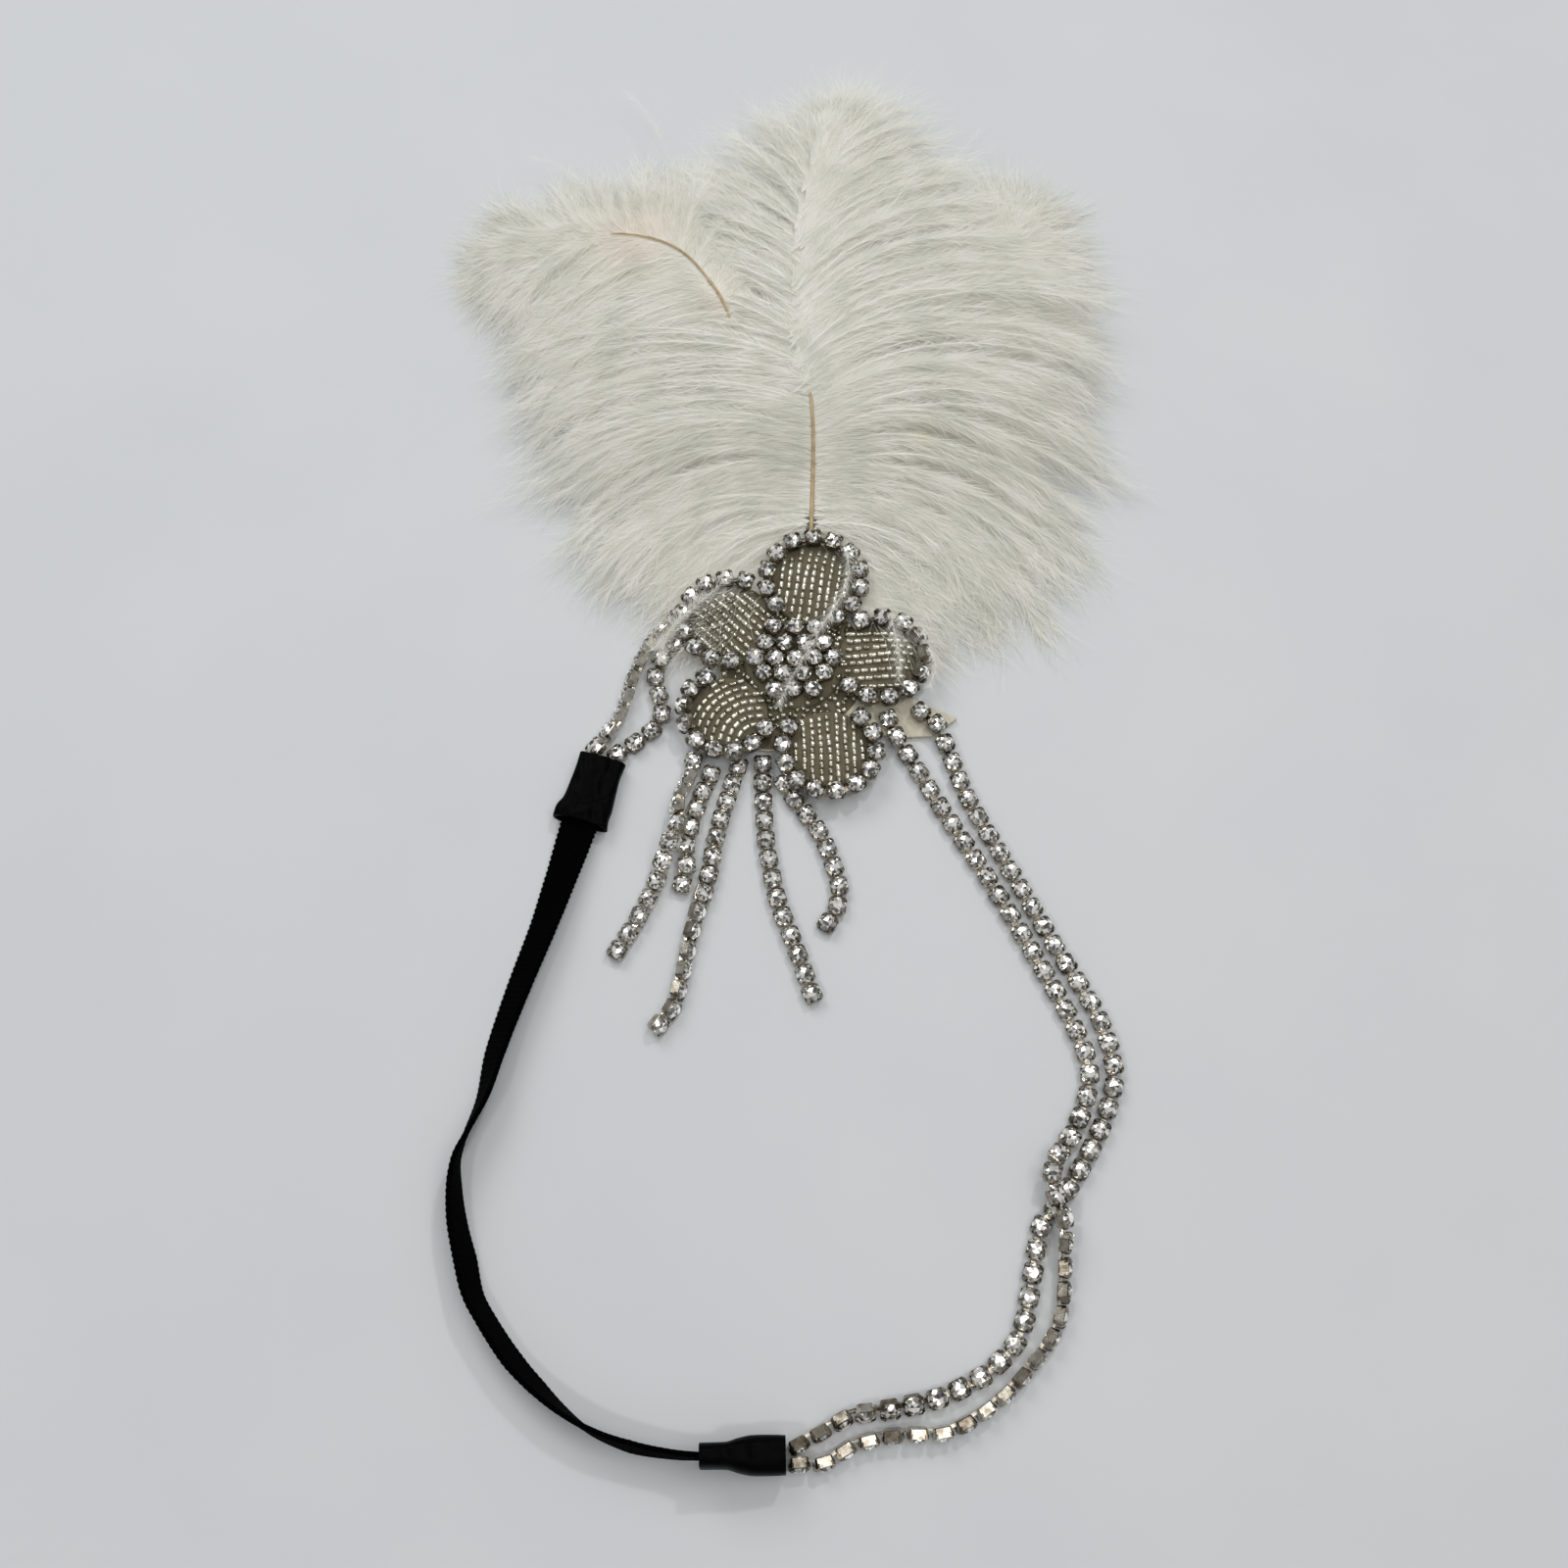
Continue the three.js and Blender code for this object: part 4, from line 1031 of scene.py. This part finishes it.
# One side's barbs as rows of points. Each is an arc that leaves the quill at one angle and droops to
# another, and neighbours gather into locks that share their lean, length and height
def barb_paths(plume, side):
    share = BARE + (1 - BARE) * (np.arange(BARBS) + chance.random(BARBS)) / BARBS
    share = np.sort(share)
    route = quill_route(plume)
    root = route.at(share)
    ahead = route.heading(share)
    heading = np.arctan2(ahead[:, 1], ahead[:, 0])
    table = np.array(plume["barbs"])
    vane = (share - BARE) / (1 - BARE)
    first = 1 if side > 0 else 4
    leave, droop, length = (np.interp(vane, table[:, 0], table[:, first + k]) for k in range(3))
    locks = np.cumsum(chance.random(BARBS) < 0.2)
    each = locks.max() + 1
    lock_lean = chance.normal(0, 2.5, each)[locks]
    lock_length = chance.uniform(0.9, 1.05, each)[locks]
    lock_level = chance.uniform(0.3, 0.82, each)[locks]
    stray = np.where(chance.random(BARBS) < 0.16, chance.normal(0, 12, BARBS), chance.normal(0, 3.6, BARBS))
    bared, covered = SHOWN[plume["name"]]
    hidden = 1 - eased(share, bared - 0.03, bared) * (1 - eased(share, covered, covered + 0.04))
    start = heading + side * np.radians(leave + lock_lean * 0.4 + stray * 0.35)
    start = start + np.radians(5) * hidden * chance.normal(0, 1, BARBS)
    end = heading + side * np.radians(droop + lock_lean + stray)
    full = length * plume["reach"] * lock_length * (0.55 + 0.55 * chance.random(BARBS) ** 0.9)
    over = (side * hidden * chance.uniform(-0.5, 4.5, BARBS))[:, None]
    root = root + over * np.stack([ahead[:, 1], -ahead[:, 0], np.zeros(BARBS)], axis=1)
    x, y = arcs(root[:, 0], root[:, 1], start, end, full)
    middles = np.array([np.flatnonzero(locks == lock).mean() for lock in range(each)]).astype(int)[locks]
    drawn = chance.uniform(0.0, 0.26, each)[locks] * np.clip(full / 45, 0.15, 1)
    gather = drawn[:, None] * STOPS ** 1.6
    x = between(x, x[middles], gather)
    y = between(y, y[middles], gather)
    low, high = layer_heights(plume["layer"], x, y)
    dip = plume.get("dip", 0) * (side > 0) * eased(share, 0.22, 0.36)
    tip = (np.clip(lock_level + chance.normal(0, 0.15, BARBS), 0, 1.1) - dip)[:, None]
    level = 1 + (tip - 1) * STOPS ** 0.9
    lift = np.sin(pi * STOPS) * (0.3 + 0.9 * lock_level - dip)[:, None]
    over_quill = (0.5 * chance.random(BARBS) * hidden)[:, None]
    climbed = climb(plume, share)[:, None] * (1 - 0.8 * STOPS)
    z = low + (high - low) * level + lift + over_quill + climbed
    return np.stack([x, y, np.maximum(z, LOWEST_BARB)], axis=2)


# Short barbs low on the front quill, which fill the bays between the vanes and the brooch. The lowest ones
# leave from under the top petal
def apron_paths(side, count=150):
    spread = np.sort(chance.random(count))
    x0 = 4 - side * chance.uniform(0.4, 2.0, count)
    y0 = between(41.0, 22.5, spread) + chance.normal(0, 0.7, count)
    start = pi / 2 + side * np.radians(between(64, 122, spread) + chance.normal(0, 4, count))
    end = pi / 2 + side * np.radians(between(152, 138, spread) + chance.normal(0, 8, count))
    full = between(52, 28, spread) * chance.uniform(0.55, 1.0, count)
    if side < 0:
        full = full * 1.12
    x, y = arcs(x0, y0, start, end, full)
    under = eased(spread, 0.35, 0.6)
    root = between(chance.uniform(3.4, 6.6, count), 1.35, under)
    tip = between(chance.uniform(0.4, 4.4, count), chance.uniform(0.3, 2.6, count), under)
    fall = eased(STOPS[None, :], 0.3 * under[:, None], 1.0)
    swell = 0.8 * fall * (1 - fall) * chance.random(count)[:, None]
    z = root[:, None] + (tip - root)[:, None] * fall + swell
    return np.stack([x, y, np.maximum(z, LOWEST_BARB)], axis=2)


def sideways(direction):
    flat = np.stack([-direction[:, 1], direction[:, 0], np.zeros(len(direction))], axis=1)
    return unit(flat)


# A flat ribbon along every barb, wide at the quill and fine at its tip
def add_barbs(work, paths, width):
    ahead = np.gradient(paths, axis=1)
    flat = unit(np.stack([-ahead[:, :, 1], ahead[:, :, 0], np.zeros(ahead.shape[:2])], axis=2))
    wide = width * (0.12 + 0.88 * (1 - STOPS) ** 0.7)[None, :, None] / 2
    edges = np.stack([paths - flat * wide, paths + flat * wide], axis=2)
    faces = skin_faces(paths.shape[1], 2, closed=False)
    work.add(edges, copies(faces, len(paths), 2 * paths.shape[1]), smooth=True)


# Places along barbs picked at random, and the direction of the barb there
def pick_on(paths, count, nearest, furthest, thinning=1.0):
    which = chance.integers(0, len(paths), count)
    share = between(nearest, furthest, chance.random(count) ** thinning) * (paths.shape[1] - 1)
    step = np.minimum(share.astype(int), paths.shape[1] - 2)
    part = (share - step)[:, None]
    here, there = paths[which, step], paths[which, step + 1]
    return between(here, there, part), unit(there - here), share / (paths.shape[1] - 1)


def swung(direction, angle, rise):
    c, s = np.cos(angle), np.sin(angle)
    x = direction[:, 0] * c - direction[:, 1] * s
    y = direction[:, 0] * s + direction[:, 1] * c
    return unit(np.stack([x, y, direction[:, 2] + rise], axis=1))


# One fine triangle from each spot to its tip
def add_slivers(work, spot, half, tips):
    work.add(np.stack([spot - half, spot + half, tips], axis=1), np.arange(3 * len(spot)).reshape(-1, 3))


# Barbules: one fine triangle each, leaving the barb at a small angle to either side, sparser at its tip
def add_barbules(work, paths, count):
    spot, ahead, share = pick_on(paths, count, 0.0, 1.0, 1.3)
    swing = np.radians(chance.uniform(6, 32, count)) * chance.choice([-1, 1], count)
    fluff = np.where(chance.random(count) < 0.25 * share, 1.9, 1 - 0.3 * share)
    direction = swung(ahead, swing * fluff, chance.normal(0.0, 0.10, count))
    length = BARBULE_SIZE["length"] * chance.uniform(0.5, 1.25, count) * (1 - 0.2 * share)
    across = sideways(direction)
    tilt = chance.normal(0, 0.35, count)
    across = unit(across + np.stack([np.zeros(count), np.zeros(count), tilt], axis=1))
    half = across * (BARBULE_SIZE["half"] * chance.uniform(0.7, 1.3, count) * (1 - 0.35 * share))[:, None]
    tips = spot + direction * length[:, None]
    tips[:, 2] = np.maximum(tips[:, 2], LOWEST_TIP)
    add_slivers(work, spot, half, tips)


# Long loose hairs past the barbs' tips. Each is bent at its knee, where it is widest
def add_fringe(work, paths, count):
    spot, ahead, share = pick_on(paths, count, 0.45, 1.0)
    swing = np.radians(chance.normal(0, 15, count))
    bend = np.radians(chance.normal(0, 22, count))
    length = (HAIR_SIZE["short"] + HAIR_SIZE["more"] * chance.random(count) ** 2) * (1.1 - 0.2 * share)
    first = swung(ahead, swing, chance.normal(0.0, 0.12, count))
    second = swung(first, bend, chance.normal(-0.04, 0.1, count))
    half = sideways(first) * HAIR_SIZE["half"]
    knee = spot + first * (length * 0.45)[:, None]
    tip = knee + second * (length * 0.55)[:, None]
    points = np.stack([spot, knee - half, knee + half, tip], axis=1)
    points[:, :, 2] = np.maximum(points[:, :, 2], LOWEST_TIP)
    work.add(points, copies(np.array([[0, 1, 2], [1, 3, 2]]), count, 4))


# A round tube along points, thinner towards its end
def add_tube(work, path, radii, sides=10, look=0):
    ahead = unit(np.gradient(path, axis=0))
    side = unit(np.stack([-ahead[:, 1], ahead[:, 0], np.zeros(len(ahead))], axis=1))
    up = np.cross(ahead, side)
    angles = np.arange(sides) * 2 * pi / sides
    rings = path[:, None] + radii[:, None, None] * (
        side[:, None] * np.cos(angles)[None, :, None] + up[:, None] * np.sin(angles)[None, :, None])
    work.add(rings, skin_faces(len(path), sides), look=look, smooth=True)


def quill_path(plume, share):
    route = quill_route(plume)
    path = route.at(share)
    low, high = layer_heights(plume["layer"], path[:, 0], path[:, 1])
    first, last = SHOWN[plume["name"]]
    shown = eased(share, first - 0.08, first) * (1 - eased(share, last, last + 0.06))
    in_vane = high + climb(plume, share) + 0.5 - 1.8 * (1 - shown)
    seat = 4.4 if plume["layer"] == LAYERS - 1 else 0.9
    path[:, 2] = between(seat, in_vane, eased(share, 0, BARE * 0.7))
    return path


PLUME_FINISH = {"plume_front": SPOTTED_FEATHER, "plume_left": PEACH_FEATHER, "plume_back": FEATHER}
# A small tan curl beside the front quill
CURL = [(4.2, 50.4, 9.6), (5.4, 52.4, 10.6), (6.9, 53.9, 11.2), (7.6, 53.2, 11.2), (7.3, 52.0, 10.9)]


def make_vane(name, paths, finish, sparser=1):
    vane = Work()
    add_barbs(vane, paths, BARB_WIDTH)
    add_barbules(vane, paths, BARBULES // sparser)
    add_fringe(vane, paths, FRINGE // sparser)
    vane.piece(name, [finish])


def make_plumes():
    for plume in PLUMES:
        quill = Work()
        share = np.linspace(0, 0.97, 90)
        add_tube(quill, quill_path(plume, share), between(0.52, 0.12, share ** 0.7))
        if plume["name"] == "plume_front":
            add_tube(quill, Route(CURL).at(np.linspace(0, 1, 24)), np.linspace(0.34, 0.12, 24))
        quill.piece(plume["name"] + "_quill", [QUILL], [plume["name"]])
        for side, label in SIDES:
            make_vane(f"{plume['name']}_{label}_vane", barb_paths(plume, side), PLUME_FINISH[plume["name"]])
    for side, label in SIDES:
        make_vane(f"apron_{label}_barbs", apron_paths(side), FEATHER, sparser=3)


# The elastic band, from inside the satin sleeve to inside the end sleeve
BAND = {"width": 8.5, "thickness": 1.2, "bow": 38.5, "tuck": 4}
BAND_COURSE = [
    [0, 0, 3], [0.078, -0.144, 25], [0.161, -0.296, 38], [0.257, -0.491, 45],
    [0.352, -0.669, 53], [0.418, -0.769, 66], [0.473, -0.894, 77], [0.503, -0.953, 87],
    [0.542, -0.985, 98], [0.596, -1, 107], [0.653, -0.989, 113], [0.708, -0.976, 110],
    [0.749, -0.928, 110], [0.812, -0.83, 112], [0.856, -0.734, 108], [0.896, -0.63, 99],
    [0.932, -0.507, 88], [0.965, -0.33, 82], [0.987, -0.146, 86], [1, 0, 89],
]
SATIN_SLEEVE = {"length": 15.8, "width": 10.3, "height": 4.8, "heading": -106}
END_SLEEVE = {"length": 16.2, "width": 7.3, "height": 11.4, "heading": -179}
SLEEVE_WALL = 0.8


def heading_vector(heading):
    return np.array([cos(radians(heading)), sin(radians(heading))])


def mouth_after(one, two, heading):
    middle = (np.array(CHAINS[one][-1][:2]) + np.array(CHAINS[two][-1][:2])) / 2
    return middle + heading_vector(heading) * (CUP_REACH + GAP)


SATIN_MOUTH = mouth_after("left_chain_1", "left_chain_2", SATIN_SLEEVE["heading"])
SATIN_END = SATIN_MOUTH + heading_vector(SATIN_SLEEVE["heading"]) * SATIN_SLEEVE["length"]
END_MOUTH = mouth_after("side_chain_1", "side_chain_2", END_SLEEVE["heading"])
END_FAR = END_MOUTH + heading_vector(END_SLEEVE["heading"]) * END_SLEEVE["length"]


def band_route():
    chord = END_FAR - SATIN_END
    out = unit(np.array([-chord[1], chord[0]]))
    raised = (SATIN_SLEEVE["height"] - BAND["thickness"]) / 2
    raised_on_edge = (END_SLEEVE["height"] - BAND["width"]) / 2
    at_sleeves = {0: raised, 1: raised_on_edge}
    route = []
    for share, bow, roll in BAND_COURSE:
        spot = SATIN_END + chord * share + out * bow * BAND["bow"]
        route.append([*spot, at_sleeves.get(share, 0), roll])
    start = SATIN_END - heading_vector(SATIN_SLEEVE["heading"]) * BAND["tuck"]
    end = END_FAR - heading_vector(END_SLEEVE["heading"]) * BAND["tuck"]
    return [[*start, raised, 0], *route, [*end, raised_on_edge, 90]]


def make_band(stations=620):
    route = band_route()
    seats = seats_on(route, shares=np.linspace(0, 1, stations))
    length = Route([row[:3] for row in route]).total()
    run = np.linspace(0, length, stations)
    inward = unit(np.stack([-seats.along[:, 1], seats.along[:, 0], np.zeros(stations)], axis=1))
    half = BAND["width"] / 2
    thick = BAND["thickness"] / 2
    outline = [
        (1, -0.35), (1, 0.35), (0.95, 0.85), (0.8, 1), (0.4, 1), (0, 1), (-0.4, 1), (-0.8, 1), (-0.95, 0.85),
        (-1, 0.35), (-1, -0.35), (-0.95, -0.85), (-0.8, -1), (-0.4, -1), (0, -1), (0.4, -1), (0.8, -1),
        (0.95, -0.85),
    ]
    across = np.array([w for w, _ in outline])
    up = np.array([t for _, t in outline])
    scallop = 0.16 * np.sin(run * 2 * pi / 1.25)[:, None] * (np.abs(across) > 0.9) * np.sign(across)
    cords = 0.04 * np.cos(across * half * 2 * pi / 1.05) * (np.abs(up) > 0.9)
    w = across * (half - 0.16) + scallop
    t = up * (thick - 0.05) + up * cords
    roll = seats.roll[:, None]
    side = w * np.cos(roll) - t * np.sin(roll)
    height = w * np.sin(roll) + t * np.cos(roll)
    height += seats.low[:, None] - height.min(axis=1, keepdims=True)
    x = seats.x[:, None] + inward[:, :1] * side
    y = seats.y[:, None] + inward[:, 1:2] * side
    points = np.stack([x, y, height], axis=2)
    work = Work()
    count = len(outline)
    told_run = np.repeat(run, count)
    told_across = np.tile(across * half, stations)
    work.add(points, skin_faces(stations, count), smooth=True, run=told_run, across=told_across)
    work.piece("elastic_band_weave", [ELASTIC], ["elastic_band"])


# Sleeves: a flattened tube, open at both ends. A relief in millimetres lifts its outer face
SATIN_SECTIONS = [
    [0, 1.02, 0.94, 0], [0.2, 0.98, 0.98, 0], [0.45, 1.02, 0.96, 0.01], [0.7, 1.08, 1, 0.02],
    [0.86, 1.16, 1.04, -0.02], [1, 1.2, 1, 0],
]
END_SECTIONS = [
    [0, 0.64, 1, 0], [0.3, 0.66, 0.97, 0], [0.45, 0.86, 0.91, 0], [0.6, 0.99, 0.85, 0],
    [0.85, 1, 0.78, 0], [1, 0.97, 0.76, 0],
]


def add_sleeve(work, start, heading, size, sections, relief, stations=40, sides=72):
    along = heading_vector(heading)
    route = Route([[row[1], row[2], row[3]] for row in sections])
    share = np.linspace(0, 1, stations)
    knots = [row[0] for row in sections]
    own = np.interp(share, knots, np.linspace(0, 1, len(sections)))
    widths, heights, drifts = route.at(own).T
    angle = (np.arange(sides) + 0.5) * 2 * pi / sides

    def rounded(value):
        return np.sign(value) * np.abs(value) ** 0.62

    def shell(inset, lifted):
        half = widths[:, None] * size["width"] / 2 - inset
        tall = heights[:, None] * size["height"] / 2 - inset
        across = rounded(np.cos(angle)) * half + drifts[:, None] * size["width"]
        up = heights[:, None] * size["height"] / 2 + rounded(np.sin(angle)) * tall
        if lifted:
            rise = relief(share[:, None], rounded(np.cos(angle))[None, :])
            up = up + rise * np.clip(rounded(np.sin(angle)), 0, 1)[None, :]
        middle = start + along * (share * size["length"])[:, None]
        return np.stack([middle[:, :1] - along[1] * across, middle[:, 1:] + along[0] * across, up], axis=2)

    outer, inner = shell(0, True), shell(SLEEVE_WALL, False)
    rings = np.concatenate([outer, inner[::-1], outer[:1]])
    work.add(rings, skin_faces(len(rings), sides)[:, ::-1], smooth=True)


# The satin is folded over itself: a flap down its right third, a diagonal fold low down, and soft creases
def satin_relief(share, across):
    flap = -0.55 * eased(across, 0.30, 0.36) + 0.25 * eased(across, 0.5, 0.95)
    diagonal = across * 0.35 + share
    turn_up = 0.6 * eased(diagonal, 0.80, 0.83) - 0.35 * eased(diagonal, 0.84, 1.0)
    creases = 0.14 * np.sin(across * 5.0 + share * 7.0) + 0.1 * np.sin(across * 11 - share * 16 + 1.0)
    gather = 0.16 * np.sin(across * 15 + 1.5) * (1 - eased(share, 0.0, 0.22))
    return flap + turn_up + creases + gather


def end_relief(share, across):
    return 0.07 * np.sin(share * 26 + across * 2.0) + 0.05 * np.sin(across * 6 + share * 9)


def make_sleeves():
    satin = Work()
    add_sleeve(satin, SATIN_MOUTH, SATIN_SLEEVE["heading"], SATIN_SLEEVE, SATIN_SECTIONS, satin_relief)
    satin.piece("satin_sleeve_folds", [SATIN], ["satin_sleeve"])
    end = Work()
    add_sleeve(end, END_FAR, END_SLEEVE["heading"] + 180, END_SLEEVE, END_SECTIONS, end_relief)
    end.piece("end_sleeve_shell", [SLEEVE], ["end_sleeve"])


# Thin white barbs that have come loose and lie over the brooch
LOOSE_BARBS = {
    "top": [(12.0, 26.9), (12.6, 20.1), (9.9, 13.3), (6.6, 7.9), (3.6, 1.7), (-0.8, -6.1), (-3.4, -12.9)],
    "right": [(21.7, 10.8), (22.7, 5.0), (23.6, -0.8), (23.1, -6.5)],
    "far_right": [(25.7, 7.5), (29.2, 3.3), (31.6, -2.4), (30.0, -8.1)],
    "left": [(-32.2, 0.8), (-28, 5.8), (-22.2, 12.5), (-13.5, 20.9)],
    "far_left": [(-28.6, -2.7), (-29.4, 2.2), (-25.2, 10.5), (-20.1, 15.5)],
}
LOOSE_HEIGHT = 6.6
# Single barbs that stand out past the plumes' edge
WISPS = {
    "top_left": [(-22, 122, 9), (-30.4, 138.2, 8), (-36.3, 153.5, 7), (-42.9, 163.9, 6)],
    "high_left": [(-45, 122, 8), (-53.5, 133.7, 7), (-60, 139.5, 6.5), (-67.1, 142.2, 6)],
    "left_tip": [(-66, 104, 6), (-74.8, 106.9, 5), (-80, 109.5, 5), (-82.5, 115, 5)],
    "right": [(60, 57, 5), (68.8, 51.9, 4), (76, 48, 3.5), (82.2, 45.4, 3)],
    "top_right": [(26, 122, 8), (34.1, 132.8, 7), (42, 143, 6), (48.1, 151.9, 5)],
}


def make_loose_barbs():
    work = Work()
    over_brooch = [[(x, y, LOOSE_HEIGHT) for x, y in spots] for spots in LOOSE_BARBS.values()]
    loose = [(spots, 18) for spots in over_brooch] + [(spots, 6) for spots in WISPS.values()]
    for spots, density in loose:
        route = Route(spots)
        path = route.at(STOPS)[None]
        add_barbs(work, path, 0.09)
        count = int(route.total() * density)
        spot, ahead, place = pick_on(path, count, 0.0, 1.0)
        swing = np.radians(chance.uniform(22, 60, count)) * chance.choice([-1, 1], count)
        direction = swung(ahead, swing, chance.normal(-0.05, 0.3, count))
        length = chance.uniform(1.2, 4.0, count) * (1.1 - 0.4 * place)
        half = sideways(direction) * 0.022
        add_slivers(work, spot, half, spot + direction * length[:, None])
    work.piece("loose_barbs", [FEATHER])


def make_felt():
    felt = nodes["brooch_backing"]
    felt.data.materials.clear()
    felt.data.materials.append(FELT)


make_chains()
make_net_ground()
make_petals()
make_cluster()
make_felt()
make_plumes()
make_loose_barbs()
make_band()
make_sleeves()


# A pale table top and soft studio light
def set_table():
    half = 1.2
    mesh = bpy.data.meshes.new("table_top")
    corners = [(-half, -half, 0), (half, -half, 0), (half, half, 0), (-half, half, 0)]
    mesh.from_pydata(corners, [], [(0, 1, 2, 3)])
    mesh.materials.append(TABLE)
    top = bpy.data.objects.new("table_top", mesh)
    show(top)


def add_lamp(name, place, aim, size, power, colour=(1, 1, 1)):
    lamp = bpy.data.lights.new(name, "AREA")
    lamp.shape = "SQUARE"
    lamp.size = size
    lamp.energy = power
    lamp.color = colour
    holder = bpy.data.objects.new(name, lamp)
    holder.location = place
    direction = np.array(aim) - np.array(place)
    yaw = np.arctan2(direction[1], direction[0])
    tilt = np.arctan2(np.hypot(direction[0], direction[1]), -direction[2])
    holder.rotation_euler = (float(tilt), 0, float(yaw - pi / 2))
    show(holder)


def set_light():
    bpy.context.scene.view_settings.view_transform = "Standard"
    world = bpy.data.worlds.new("studio")
    world.use_nodes = True
    backdrop = world.node_tree.nodes["Background"]
    backdrop.inputs["Color"].default_value = (0.955, 0.975, 1.0, 1)
    backdrop.inputs["Strength"].default_value = 0.285
    bpy.context.scene.world = world
    add_lamp("window", (-0.55, 0.75, 0.95), (0, 0, 0), 0.7, 5.2, (0.97, 0.99, 1.0))
    add_lamp("ceiling", (0.35, -0.15, 1.3), (0, 0, 0), 0.9, 5.2, (1.0, 0.985, 0.96))
    add_lamp("spark_1", (0.3, 0.45, 0.8), (0, -0.03, 0), 0.06, 1.4)
    add_lamp("spark_2", (-0.35, -0.5, 0.8), (0, -0.03, 0), 0.06, 1.0)


set_table()
set_light()
